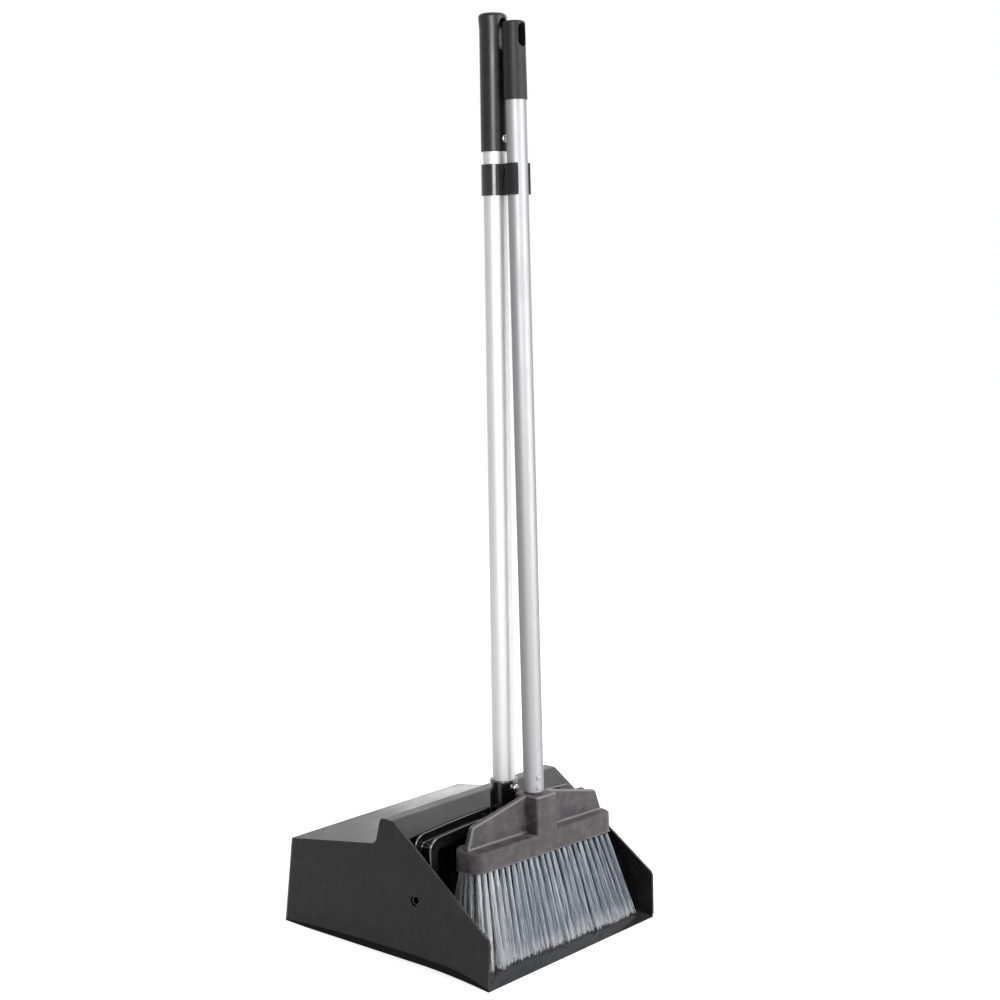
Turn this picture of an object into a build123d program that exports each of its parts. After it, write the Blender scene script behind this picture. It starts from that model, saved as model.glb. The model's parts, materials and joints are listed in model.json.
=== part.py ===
from build123d import *
import os
from math import cos, radians, sin, tan

# Upright dust pan whose stick swings on a yoke, with a broom held in a clip on the stick.
# Millimetres. X runs across the pan, the mouth faces -Y and Z points up.
# The origin lies on the ground, under the middle of the pan.

# Pan moulding
PAN_WIDTH = 284.0
PAN_LENGTH = 310.0
PAN_WALL = 3.0
WALL_DRAFT = 2.6
FRONT_HEIGHT = 52.5
REAR_HEIGHT = 96.5
REAR_LEAN = 7.4
REAR_CORNER = 8.5
DECK_SLOPE = 9.7
RIDGE_HEIGHT = 149.5
RIDGE_FRONT = -14.0
RIDGE_TOP = 18.0
RIDGE_FLARE = 6.5
RIDGE_ROUND = 5.5
RIDGE_FOOT_ROUND = 9.0
FRONT_ROUND = 9.0
REAR_ROUND = 7.0
REST_LENGTH = 40.0
FLOOR_ARCH = 3.6
FLOOR_ARCH_Y = -50.0
LIP_THICKNESS = 1.0
RAMP_SLOPE = 13.0
RAMP_RUN = 36.0
PANEL_DEPTH = 27.0
PANEL_ARCH = 6.0
SKIRT_INSET = 1.6
SKIRT_RISE = 13.0
SKIRT_PEAK = 67.0
SKIRT_FRONT = 3.5
SKIRT_REAR = 2.0

# Pivot of the yoke in the pan
PIVOT_Y = -49.5
PIVOT_Z = 71.0
PIN_RADIUS = 6.0
PIN_RUNNING_FIT = 0.08
PIN_RECESS = 2.0
PIN_BORE_RADIUS = 4.0
PIN_BORE_DEPTH = 9.0
PIN_HEAD_RADIUS = 9.0
PIN_HEAD_HEIGHT = 2.5
PIVOT_BOSS_RADIUS = 11.0
STOP_RADIUS = 7.0
STOP_RISE = 16.0
STOP_REACH = 8.0
STOP_GAP = 0.3

# Yoke
YOKE_RISE = 71.5
YOKE_CROWN = 5.0
YOKE_DEPTH = 24.0
YOKE_ARM = 12.0
YOKE_FLANGE = 2.6
YOKE_WEB = 3.0
YOKE_DROP = 13.0
YOKE_ROUND = 13.0
YOKE_INNER_ROUND = 6.0
YOKE_SIDE_GAP = 0.8
YOKE_SOLID_FOOT = 16.0
YOKE_EYE_RADIUS = 10.0
SOCKET_RISE = 103.0
SOCKET_WALL = 3.0
SOCKET_FLOOR = 4.0
GUSSET_SIZE = 10.0
GUSSET_THICKNESS = 4.0

# Stick of the pan
STICK_LEAN = 1.1
STICK_OFFSET = 5.5
PAN_TUBE_RADIUS = 12.5
PAN_TUBE_WALL = 1.2
PAN_TUBE_TOP = 895.0
PAN_GRIP_LOW = 780.5
PAN_GRIP_TOP = 922.4
PAN_GRIP_RADIUS = 14.6
PAN_GRIP_TOP_RADIUS = 15.4
PAN_GRIP_TOP_SHIFT = 0.6
PAN_GRIP_FLARE_LENGTH = 16.0
PAN_GRIP_ROUND = 4.0
HANG_HOLE_RADIUS = 5.5
HANG_HOLE_DROP = 11.0
FIT = 0.05

# Fasteners
SCREW_RADIUS = 2.0
SCREW_REACH = 3.0
SCREW_HEAD_RADIUS = 4.0
SCREW_HEAD_HEIGHT = 2.2
SCREW_BOSS_RADIUS = 5.5
SCREW_BOSS_HEIGHT = 1.2
SOCKET_SCREW_RISE = 95.0
GRIP_SCREW_RISE = 793.5
GRIP_SCREW_SINK = 1.0
RIVET_RADIUS = 1.6
RIVET_REACH = 4.0
RIVET_HEAD_RADIUS = 2.8
RIVET_HEAD_HEIGHT = 0.9

# Clip on the stick
CLIP_RISE = 751.0
CLIP_HEIGHT = 32.5
CLIP_WALL = 2.2
CLIP_WEB = 12.0
CLIP_SPACING = 31.4
JAW_CLEARANCE = 0.25
JAW_MOUTH = 94.0

# Broom
BROOM_LEAN = 2.1
BROOM_TURN = 4.2
TIP_GAP = 1.4
BRISTLE_LENGTH = 95.0
BRISTLE_SIDE_GAP = 18.0
BRISTLE_FLARE = 18.0
BRISTLE_FORWARD_FLARE = 20.0
BRISTLE_ROWS = 5
ROW_PITCH = 6.2
ROW_GAP = 0.1
TUFTS_PER_ROW = 24
STRANDS_PER_TUFT = 2
STRAND_PITCH = 3.0
STRAND_ROOT = 2.0
STRAND_TIP = 1.4
STRAND_EMBED = 1.0
SLICE_THICKNESS = 3.0
SLICE_MARGIN = 3.0
END_ROW_INSET = 4.0
HEAD_MARGIN = 1.5
HEAD_RIM = 4.5
HEAD_HEIGHT = 23.0
HEAD_CORNER = 15.0
HEAD_EDGE = 3.0
PLATE_THICKNESS = 7.0
PLATE_RISE = 41.0
PLATE_SHOULDER_DROP = 17.5
PLATE_FOOT_INSET = 2.5
PLATE_SHOULDER_INSET = 12.0
BOSS_WIDTH = 31.0
BOSS_FRONT = 20.0
BOSS_REAR = 14.0
BOSS_ROUND = 3.0
THREAD_RADIUS = 9.5
THREAD_LENGTH = 32.0
THREAD_CLEARANCE = 0.05
TIP_COLLAR = 2.0
SPIGOT_LENGTH = 32.0
RIVET_FIRST_RISE = 4.5
RIVET_SPACING = 11.0
RIVET_TURN = 15.0
BROOM_TUBE_RADIUS = 11.0
BROOM_TUBE_WALL = 1.0
BROOM_TUBE_LENGTH = 780.0
BROOM_GRIP_LENGTH = 80.0
BROOM_GRIP_OVERHANG = 35.0
BROOM_GRIP_LOW_RADIUS = 12.2
BROOM_GRIP_TOP_RADIUS = 11.8
BROOM_GRIP_ROUND = 2.5
HANG_SLOT_LENGTH = 24.0
HANG_SLOT_WIDTH = 11.0
HANG_SLOT_DROP = 2.6

# Reach of a cutting tool past the piece that it cuts
PAST = 20.0


def wall_half_width(height, inset):
    """Half the pan's width at a height, measured to a face that lies inset inside the outer one."""
    return PAN_WIDTH / 2 - height * tan(radians(WALL_DRAFT)) - inset / cos(radians(WALL_DRAFT))


def wall_plane(side, inset):
    """Plane of a side wall's face, drafted, with its normal pointing out of the pan."""
    normal = (side * cos(radians(WALL_DRAFT)), 0, sin(radians(WALL_DRAFT)))
    return Plane(origin=(side * wall_half_width(0, inset), 0, 0), x_dir=(0, 1, 0), z_dir=normal)


def leaning_plane(origin, lean, turn=0.0):
    """Plane across a stick that leans back by lean degrees and is turned about itself."""
    upright = Plane(origin=origin, x_dir=(1, 0, 0), z_dir=(0, sin(radians(lean)), cos(radians(lean))))
    turned = upright.x_dir * cos(radians(turn)) - upright.y_dir * sin(radians(turn))
    return Plane(origin=origin, x_dir=turned, z_dir=upright.z_dir)


def front_of(across):
    """Plane through a stick's axis that faces the front, with its y axis up the stick."""
    return Plane(origin=across.origin, x_dir=across.x_dir, z_dir=-across.y_dir)


# Places that the pieces share
pan_half = PAN_LENGTH / 2
floor_top = FLOOR_ARCH + PAN_WALL
yoke_half = wall_half_width(PIVOT_Z + YOKE_RISE, PAN_WALL) - YOKE_SIDE_GAP
arm_inner = yoke_half - YOKE_ARM

stick = leaning_plane((0, PIVOT_Y - STICK_OFFSET, PIVOT_Z), STICK_LEAN)
stick_front = front_of(stick)
socket_radius = PAN_TUBE_RADIUS + FIT + SOCKET_WALL
tube_seat = YOKE_RISE - YOKE_ARM + SOCKET_FLOOR

clip_middle = stick.from_local_coords(Vector(0, -CLIP_SPACING, CLIP_RISE))
tip_level = floor_top + TIP_GAP
tip_y = clip_middle.Y - (clip_middle.Z - tip_level) * tan(radians(BROOM_LEAN))
broom_straight = leaning_plane((0, tip_y, tip_level), BROOM_LEAN)
broom = leaning_plane((0, tip_y, tip_level), BROOM_LEAN, BROOM_TURN)
broom_front = front_of(broom)
rivet_front = front_of(leaning_plane((0, tip_y, tip_level), BROOM_LEAN, BROOM_TURN + RIVET_TURN))
clip_on_broom = (clip_middle.Z - tip_level) / cos(radians(BROOM_LEAN))

tip_half = wall_half_width(floor_top, PAN_WALL) - BRISTLE_SIDE_GAP
root_half = tip_half - BRISTLE_FLARE
head_half = root_half + SLICE_MARGIN + HEAD_MARGIN
head_depth = BRISTLE_ROWS * ROW_PITCH + 2 * HEAD_RIM
head_top = BRISTLE_LENGTH + HEAD_HEIGHT
plate_top = head_top + PLATE_RISE
broom_tube_low = plate_top + TIP_COLLAR
broom_tube_top = broom_tube_low + BROOM_TUBE_LENGTH
broom_grip_top = broom_tube_top + BROOM_GRIP_OVERHANG
broom_grip_low = broom_grip_top - BROOM_GRIP_LENGTH


# Pan moulding, drawn as its side view: local x is Y and local y is Z
rear_top = Vector(pan_half - REAR_LEAN, REAR_HEIGHT)
ridge_foot_y = RIDGE_FRONT + RIDGE_TOP + RIDGE_FLARE
ridge_foot = Vector(ridge_foot_y, REAR_HEIGHT + (rear_top.X - ridge_foot_y) * tan(radians(DECK_SLOPE)))
ridge_rear = Vector(RIDGE_FRONT + RIDGE_TOP, RIDGE_HEIGHT)
ridge_front = Vector(RIDGE_FRONT, RIDGE_HEIGHT)
front_top = Vector(-pan_half, FRONT_HEIGHT)
rest_front = Vector(pan_half - REST_LENGTH, 0)
arch_start = Vector(FLOOR_ARCH_Y, FLOOR_ARCH)
slant = (front_top - ridge_front).normalized()
into_pan = Vector(-slant.Y, slant.X)


def pan_side_view(inset):
    """Side view of the pan, drawn in by inset from the outer faces."""
    with BuildSketch(Plane.YZ) as view:
        with BuildLine():
            Polyline(
                arch_start,
                rest_front,
                (pan_half, 0),
                rear_top,
                ridge_foot,
                ridge_rear,
                ridge_front,
                front_top,
                (-pan_half, 0),
            )
            TangentArc(arch_start, (-pan_half, 0), tangent=arch_start - rest_front)
        make_face()
        fillet(view.vertices().sort_by_distance(rear_top)[0], REAR_ROUND)
        fillet(view.vertices().sort_by_distance(ridge_foot)[0], RIDGE_FOOT_ROUND)
        fillet(view.vertices().sort_by_distance(ridge_rear)[0], RIDGE_ROUND)
        fillet(view.vertices().sort_by_distance(ridge_front)[0], RIDGE_ROUND)
        fillet(view.vertices().sort_by_distance(front_top)[0], FRONT_ROUND)
        if inset:
            offset(amount=-inset, kind=Kind.INTERSECTION, mode=Mode.REPLACE)
    return view.sketch


def corner_rounder(side, inset, radius):
    """What the rounding of an upright rear corner takes off, for faces that lie inset inside the outer ones."""
    rear_normal = Vector(0, REAR_HEIGHT, REAR_LEAN).normalized()
    wall_normal = wall_plane(side, inset).z_dir
    upwards = wall_normal.cross(rear_normal) * side
    corner = (side * wall_half_width(0, inset), pan_half - inset / rear_normal.Y, 0)
    across = Plane(origin=corner, x_dir=-wall_normal, z_dir=upwards).offset(-PAST)
    with BuildPart() as rounder:
        with BuildSketch(across):
            with BuildLine():
                Polyline(
                    (-PAST, -PAST * side),
                    (radius, -PAST * side),
                    (radius, radius * side),
                    (-PAST, radius * side),
                    close=True,
                )
            make_face()
            with Locations((radius, radius * side)):
                Circle(radius, mode=Mode.SUBTRACT)
        extrude(amount=REAR_HEIGHT + 2 * PAST)
    return rounder.part


# Hollow of the pan, open towards the mouth
with BuildPart() as pan_hollow:
    extrude(pan_side_view(PAN_WALL), amount=PAN_WIDTH / 2, both=True)
    for side in (-1, 1):
        split(bisect_by=wall_plane(side, PAN_WALL), keep=Keep.BOTTOM)
    for side in (-1, 1):
        add(corner_rounder(side, PAN_WALL, REAR_CORNER - PAN_WALL), mode=Mode.SUBTRACT)

# Mouth: everything in front of the hood's panel and above the ramp of the lip
panel_edge = ridge_front + slant * PANEL_DEPTH
ramp_back = Vector(RAMP_RUN - pan_half, LIP_THICKNESS + RAMP_RUN * tan(radians(RAMP_SLOPE)))
ramp_front = Vector(-pan_half - PAST, LIP_THICKNESS - PAST * tan(radians(RAMP_SLOPE)))
panel_normal = (0, -into_pan.X, -into_pan.Y)
panel_plane = Plane(origin=(0, panel_edge.X, panel_edge.Y), x_dir=(1, 0, 0), z_dir=panel_normal)
panel_half = wall_half_width(panel_edge.Y, PAN_WALL)
with BuildPart() as pan_mouth:
    with BuildSketch(Plane.YZ):
        with BuildLine():
            Polyline(
                panel_edge + into_pan * 2 * PAN_WALL,
                panel_edge - into_pan * PAST,
                (-pan_half - PAST, RIDGE_HEIGHT),
                ramp_front,
                ramp_back,
                close=True,
            )
        make_face()
    extrude(amount=PAN_WIDTH / 2, both=True)
    for side in (-1, 1):
        split(bisect_by=wall_plane(side, PAN_WALL), keep=Keep.BOTTOM)
    with BuildSketch(panel_plane):
        with BuildLine():
            ThreePointArc((-panel_half, 0), (0, PANEL_ARCH), (panel_half, 0))
            Line((panel_half, 0), (-panel_half, 0))
        make_face()
    extrude(amount=2 * PAN_WALL, both=True)

# Skirt: the lower part of each wall, set in under an arched edge
skirt_peak = Vector(SKIRT_PEAK - pan_half, SKIRT_RISE)
with BuildPart() as skirt_cuts:
    with BuildSketch(Plane.YZ):
        with BuildLine():
            TangentArc(skirt_peak, (pan_half, SKIRT_REAR), tangent=(1, 0))
            TangentArc(skirt_peak, (-pan_half, SKIRT_FRONT), tangent=(-1, 0))
            Polyline((-pan_half, SKIRT_FRONT), (-pan_half, -PAST), (pan_half, -PAST), (pan_half, SKIRT_REAR))
        make_face()
    extrude(amount=PAN_WIDTH, both=True)
    with BuildSketch(Plane.XZ):
        with BuildLine():
            low = wall_half_width(-2 * PAST, SKIRT_INSET)
            high = wall_half_width(2 * PAST, SKIRT_INSET)
            Polyline(
                (-low, -2 * PAST),
                (low, -2 * PAST),
                (high, 2 * PAST),
                (-high, 2 * PAST),
                close=True,
            )
        make_face()
    extrude(amount=PAN_LENGTH, both=True, mode=Mode.SUBTRACT)

arm_rear = stick.from_local_coords(Vector(0, YOKE_DEPTH / 2, STOP_RISE))
stop_place = (arm_rear.Y + STOP_GAP + STOP_RADIUS, arm_rear.Z)
wall_middle = wall_half_width(PIVOT_Z, PAN_WALL / 2)
with BuildPart() as pan_body:
    extrude(pan_side_view(0), amount=PAN_WIDTH / 2, both=True)
    for side in (-1, 1):
        split(bisect_by=wall_plane(side, 0), keep=Keep.BOTTOM)
    for side in (-1, 1):
        add(corner_rounder(side, 0, REAR_CORNER), mode=Mode.SUBTRACT)
    add(pan_hollow.part, mode=Mode.SUBTRACT)
    add(pan_mouth.part, mode=Mode.SUBTRACT)
    add(skirt_cuts.part, mode=Mode.SUBTRACT)
    for side in (-1, 1):
        with BuildSketch(Plane.YZ.offset(side * wall_middle)):
            with Locations((PIVOT_Y, PIVOT_Z)):
                Circle(PIVOT_BOSS_RADIUS)
        extrude(amount=side * (yoke_half + YOKE_SIDE_GAP / 2 - wall_middle))
        with BuildSketch(Plane.YZ.offset(side * wall_middle)):
            with Locations(stop_place):
                Circle(STOP_RADIUS)
        extrude(amount=side * (yoke_half - STOP_REACH - wall_middle))
        with BuildSketch(Plane.YZ.offset(side * arm_inner)):
            with Locations((PIVOT_Y, PIVOT_Z)):
                Circle(PIN_RADIUS + PIN_RUNNING_FIT)
        extrude(amount=side * PAN_WIDTH / 2, mode=Mode.SUBTRACT)
pan_body.part.label = "pan_body"


# Yoke: an arch of channel section, drawn from the front with the pivot's height at zero
def yoke_outline(inset, foot):
    """Front view of the yoke, drawn in by inset, from foot upwards."""
    half = yoke_half - inset
    shoulder = YOKE_RISE - YOKE_CROWN - inset
    with BuildSketch(stick_front) as view:
        with BuildLine():
            ThreePointArc((-half, shoulder), (0, YOKE_RISE - inset), (half, shoulder))
            Polyline((half, shoulder), (half, foot), (-half, foot), (-half, shoulder))
        make_face()
        fillet(view.vertices().group_by(Axis.Y)[-1], max(YOKE_ROUND - inset, YOKE_INNER_ROUND))
    return view.sketch


with BuildPart() as yoke_groove:
    with BuildSketch(stick_front):
        with Locations((0, YOKE_SOLID_FOOT)):
            Rectangle(PAN_WIDTH, YOKE_RISE, align=(Align.CENTER, Align.MIN))
    extrude(amount=YOKE_DEPTH / 2 - YOKE_FLANGE, both=True)
    extrude(yoke_outline(YOKE_ARM - YOKE_WEB, -YOKE_DROP), amount=YOKE_DEPTH, both=True, mode=Mode.SUBTRACT)

with BuildPart() as yoke:
    extrude(yoke_outline(0, -YOKE_DROP), amount=YOKE_DEPTH / 2, both=True)
    extrude(yoke_outline(YOKE_ARM, -YOKE_DROP - PAST), amount=YOKE_DEPTH, both=True, mode=Mode.SUBTRACT)
    add(yoke_groove.part, mode=Mode.SUBTRACT)
    for side in (-1, 1):
        with BuildSketch(Plane.YZ.offset(side * arm_inner)):
            with Locations((PIVOT_Y, PIVOT_Z)):
                Circle(YOKE_EYE_RADIUS)
        extrude(amount=side * YOKE_ARM)
    with BuildSketch(stick.offset(YOKE_RISE - YOKE_ARM)):
        Circle(socket_radius)
    extrude(amount=SOCKET_RISE - YOKE_RISE + YOKE_ARM)
    with BuildSketch(stick_front):
        with BuildLine():
            gusset_foot = YOKE_RISE - YOKE_ARM + YOKE_WEB
            Polyline(
                (socket_radius - SOCKET_WALL / 2, gusset_foot),
                (socket_radius + GUSSET_SIZE, gusset_foot),
                (socket_radius + GUSSET_SIZE, YOKE_RISE - YOKE_CROWN / 2),
                (socket_radius - SOCKET_WALL / 2, YOKE_RISE + GUSSET_SIZE),
                close=True,
            )
            mirror(about=Plane.YZ)
        make_face()
    extrude(amount=GUSSET_THICKNESS / 2, both=True)
    with BuildSketch(stick_front.offset(PAN_TUBE_RADIUS + FIT)):
        with Locations((0, SOCKET_SCREW_RISE)):
            Circle(SCREW_BOSS_RADIUS)
    extrude(amount=SOCKET_WALL + SCREW_BOSS_HEIGHT)
    with BuildSketch(stick.offset(tube_seat)):
        Circle(PAN_TUBE_RADIUS + FIT)
    extrude(amount=SOCKET_RISE, mode=Mode.SUBTRACT)
    with BuildSketch(stick_front):
        with Locations((0, SOCKET_SCREW_RISE)):
            Circle(SCREW_RADIUS + FIT)
    extrude(amount=PAST, mode=Mode.SUBTRACT)
    with BuildSketch(Plane.YZ):
        with Locations((PIVOT_Y, PIVOT_Z)):
            Circle(PIN_RADIUS + FIT)
    extrude(amount=PAN_WIDTH / 2, both=True, mode=Mode.SUBTRACT)
yoke.part.label = "yoke"


# Pivot pins: hollow at the outer end, headed inside the yoke's arm
def pivot_pin(side, name):
    pin_end = wall_half_width(PIVOT_Z, 0) - PIN_RECESS
    with BuildPart() as pin:
        with BuildSketch(Plane.YZ.offset(side * arm_inner)):
            with Locations((PIVOT_Y, PIVOT_Z)):
                Circle(PIN_RADIUS)
        extrude(amount=side * (pin_end - arm_inner))
        with BuildSketch(Plane.YZ.offset(side * arm_inner)):
            with Locations((PIVOT_Y, PIVOT_Z)):
                Circle(PIN_HEAD_RADIUS)
        extrude(amount=-side * PIN_HEAD_HEIGHT)
        with BuildSketch(Plane.YZ.offset(side * pin_end)):
            with Locations((PIVOT_Y, PIVOT_Z)):
                Circle(PIN_BORE_RADIUS)
        extrude(amount=-side * PIN_BORE_DEPTH, mode=Mode.SUBTRACT)
    pin.part.label = name
    return pin


pivot_pins = [pivot_pin(-1, "pivot_pin_left"), pivot_pin(1, "pivot_pin_right")]


# Stick of the pan
with BuildPart() as pan_tube:
    with BuildSketch(stick.offset(tube_seat)):
        Circle(PAN_TUBE_RADIUS)
        Circle(PAN_TUBE_RADIUS - PAN_TUBE_WALL, mode=Mode.SUBTRACT)
    extrude(amount=PAN_TUBE_TOP - tube_seat)
    with BuildSketch(stick_front):
        with Locations((0, SOCKET_SCREW_RISE), (0, GRIP_SCREW_RISE)):
            Circle(SCREW_RADIUS + FIT)
    extrude(amount=PAST, mode=Mode.SUBTRACT)
pan_tube.part.label = "pan_tube"


# Grip: a sleeve whose end widens towards the rear, with a hole to hang it by
flare_start = PAN_GRIP_TOP - PAN_GRIP_FLARE_LENGTH
with BuildPart() as pan_grip:
    with BuildSketch(stick.offset(PAN_GRIP_LOW)):
        Circle(PAN_GRIP_RADIUS)
    extrude(amount=flare_start - PAN_GRIP_LOW)
    with BuildSketch(stick.offset(flare_start)):
        Circle(PAN_GRIP_RADIUS)
    with BuildSketch(stick.offset(PAN_GRIP_TOP)):
        with Locations((0, PAN_GRIP_TOP_SHIFT)):
            Circle(PAN_GRIP_TOP_RADIUS)
    loft()
    grip_rims = pan_grip.edges().filter_by(GeomType.CIRCLE)
    fillet(grip_rims.sort_by(Axis(stick.origin, stick.z_dir))[-1], PAN_GRIP_ROUND)
    with BuildSketch(stick.offset(PAN_GRIP_LOW)):
        Circle(PAN_TUBE_RADIUS + FIT)
    extrude(amount=PAN_TUBE_TOP + FIT - PAN_GRIP_LOW, mode=Mode.SUBTRACT)
    with BuildSketch(stick_front):
        with Locations((0, PAN_GRIP_TOP - HANG_HOLE_DROP)):
            Circle(HANG_HOLE_RADIUS)
    extrude(amount=PAST, both=True, mode=Mode.SUBTRACT)
    with BuildSketch(stick_front):
        with Locations((0, GRIP_SCREW_RISE)):
            Circle(SCREW_RADIUS + FIT)
    extrude(amount=PAST, mode=Mode.SUBTRACT)
    with BuildSketch(stick_front.offset(PAN_GRIP_RADIUS - GRIP_SCREW_SINK)):
        with Locations((0, GRIP_SCREW_RISE)):
            Circle(SCREW_HEAD_RADIUS + FIT)
    extrude(amount=PAST, mode=Mode.SUBTRACT)
pan_grip.part.label = "pan_grip"


def headed_fastener(seat, radius, length, head_radius, head_height, name):
    """Round-headed fastener whose head sits on the seat plane and whose shank runs into it."""
    with BuildPart() as fastener:
        with BuildSketch(seat):
            Circle(radius)
        extrude(amount=-length)
        with BuildSketch(seat):
            Circle(head_radius)
        extrude(amount=head_height)
        head_rim = fastener.edges().filter_by(GeomType.CIRCLE).sort_by(Axis(seat.origin, seat.z_dir))[-1]
        fillet(head_rim, head_height * 0.7)
    fastener.part.label = name
    return fastener


def seat_on(front, rise, reach):
    """Plane of a fastener's seat, reach in front of a stick's axis and rise along it."""
    return Plane(
        origin=front.from_local_coords(Vector(0, rise, reach)), x_dir=front.x_dir, z_dir=front.z_dir
    )


tube_inside = PAN_TUBE_RADIUS - PAN_TUBE_WALL
socket_seat = PAN_TUBE_RADIUS + FIT + SOCKET_WALL + SCREW_BOSS_HEIGHT
grip_seat = PAN_GRIP_RADIUS - GRIP_SCREW_SINK
socket_screw = headed_fastener(
    seat_on(stick_front, SOCKET_SCREW_RISE, socket_seat),
    SCREW_RADIUS,
    socket_seat - tube_inside + SCREW_REACH,
    SCREW_HEAD_RADIUS,
    SCREW_HEAD_HEIGHT,
    "socket_screw",
)
grip_screw = headed_fastener(
    seat_on(stick_front, GRIP_SCREW_RISE, grip_seat),
    SCREW_RADIUS,
    grip_seat - tube_inside + SCREW_REACH,
    SCREW_HEAD_RADIUS,
    SCREW_HEAD_HEIGHT,
    "grip_screw",
)


# Clip: a ring on the pan's stick, joined to an open jaw round the broom's stick
jaw_bore = BROOM_TUBE_RADIUS + JAW_CLEARANCE
clip_low = CLIP_RISE - CLIP_HEIGHT / 2
jaw_low = clip_on_broom - CLIP_HEIGHT / 2
mouth_reach = jaw_bore + CLIP_WALL + PAST
mouth_half = mouth_reach * tan(radians(JAW_MOUTH / 2))
with BuildPart() as broom_clip:
    with BuildSketch(stick.offset(clip_low)):
        Circle(PAN_TUBE_RADIUS + FIT + CLIP_WALL)
        with Locations((0, -CLIP_SPACING / 2)):
            Rectangle(CLIP_WEB, CLIP_SPACING)
    extrude(amount=CLIP_HEIGHT)
    with BuildSketch(broom_straight.offset(jaw_low)):
        Circle(jaw_bore + CLIP_WALL)
    extrude(amount=CLIP_HEIGHT)
    with BuildSketch(stick.offset(clip_low - PAST)):
        Circle(PAN_TUBE_RADIUS + FIT)
    extrude(amount=CLIP_HEIGHT + 2 * PAST, mode=Mode.SUBTRACT)
    with BuildSketch(broom_straight.offset(jaw_low - PAST)):
        Circle(jaw_bore)
        with BuildLine():
            Polyline((0, 0), (-mouth_half, -mouth_reach), (mouth_half, -mouth_reach), close=True)
        make_face()
    extrude(amount=CLIP_HEIGHT + 2 * PAST, mode=Mode.SUBTRACT)
broom_clip.part.label = "broom_clip"


# Broom head: base with a pocket for the rows of bristles, thin back plate and socket boss
slice_half = root_half + SLICE_MARGIN
plate_foot = head_half - PLATE_FOOT_INSET
plate_shoulder = head_half - PLATE_SHOULDER_INSET
with BuildPart() as broom_head:
    with BuildSketch(broom.offset(BRISTLE_LENGTH)):
        RectangleRounded(2 * head_half, head_depth, HEAD_CORNER)
    extrude(amount=HEAD_HEIGHT)
    fillet(broom_head.faces().sort_by(Axis(broom.origin, broom.z_dir))[-1].edges(), HEAD_EDGE)
    with BuildSketch(broom_front):
        with BuildLine():
            Polyline(
                (-plate_foot, head_top - HEAD_EDGE),
                (plate_foot, head_top - HEAD_EDGE),
                (plate_shoulder, plate_top - PLATE_SHOULDER_DROP),
                (BOSS_WIDTH / 2, plate_top),
                (-BOSS_WIDTH / 2, plate_top),
                (-plate_shoulder, plate_top - PLATE_SHOULDER_DROP),
                close=True,
            )
        make_face()
    extrude(amount=PLATE_THICKNESS / 2, both=True)
    with BuildSketch(broom.offset(head_top - HEAD_EDGE)):
        with Locations((0, (BOSS_REAR - BOSS_FRONT) / 2)):
            RectangleRounded(BOSS_WIDTH, BOSS_FRONT + BOSS_REAR, BOSS_ROUND)
    extrude(amount=PLATE_RISE + HEAD_EDGE)
    with BuildSketch(broom.offset(BRISTLE_LENGTH)):
        Rectangle(2 * slice_half + 2 * FIT, (BRISTLE_ROWS - 2) * ROW_PITCH)
        Rectangle(2 * (slice_half - END_ROW_INSET) + 2 * FIT, BRISTLE_ROWS * ROW_PITCH)
    extrude(amount=SLICE_THICKNESS, mode=Mode.SUBTRACT)
    with BuildSketch(broom.offset(plate_top)):
        Circle(THREAD_RADIUS + THREAD_CLEARANCE)
    extrude(amount=-THREAD_LENGTH - FIT, mode=Mode.SUBTRACT)
broom_head.part.label = "broom_head"


# Insert in the stick's lower end: spigot, collar and the threaded end that screws into the boss
spigot_radius = BROOM_TUBE_RADIUS - BROOM_TUBE_WALL - FIT
rivet_rises = [broom_tube_low + RIVET_FIRST_RISE + index * RIVET_SPACING for index in range(2)]
with BuildPart() as threaded_tip:
    with BuildSketch(broom.offset(plate_top - THREAD_LENGTH)):
        Circle(THREAD_RADIUS)
    extrude(amount=THREAD_LENGTH)
    with BuildSketch(broom.offset(plate_top)):
        Circle(BROOM_TUBE_RADIUS)
    extrude(amount=TIP_COLLAR)
    with BuildSketch(broom.offset(broom_tube_low)):
        Circle(spigot_radius)
    extrude(amount=SPIGOT_LENGTH)
    with BuildSketch(rivet_front.offset(BROOM_TUBE_RADIUS - RIVET_REACH - FIT)):
        with Locations(*[(0, rise) for rise in rivet_rises]):
            Circle(RIVET_RADIUS + FIT)
    extrude(amount=PAST, mode=Mode.SUBTRACT)
threaded_tip.part.label = "threaded_tip"


with BuildPart() as broom_tube:
    with BuildSketch(broom.offset(broom_tube_low)):
        Circle(BROOM_TUBE_RADIUS)
        Circle(BROOM_TUBE_RADIUS - BROOM_TUBE_WALL, mode=Mode.SUBTRACT)
    extrude(amount=BROOM_TUBE_LENGTH)
    with BuildSketch(rivet_front):
        with Locations(*[(0, rise) for rise in rivet_rises]):
            Circle(RIVET_RADIUS + FIT)
    extrude(amount=PAST, mode=Mode.SUBTRACT)
broom_tube.part.label = "broom_tube"

tip_rivets = [
    headed_fastener(
        seat_on(rivet_front, rise, BROOM_TUBE_RADIUS),
        RIVET_RADIUS,
        RIVET_REACH,
        RIVET_HEAD_RADIUS,
        RIVET_HEAD_HEIGHT,
        name,
    )
    for rise, name in zip(rivet_rises, ("tip_rivet_lower", "tip_rivet_upper"))
]


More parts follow.
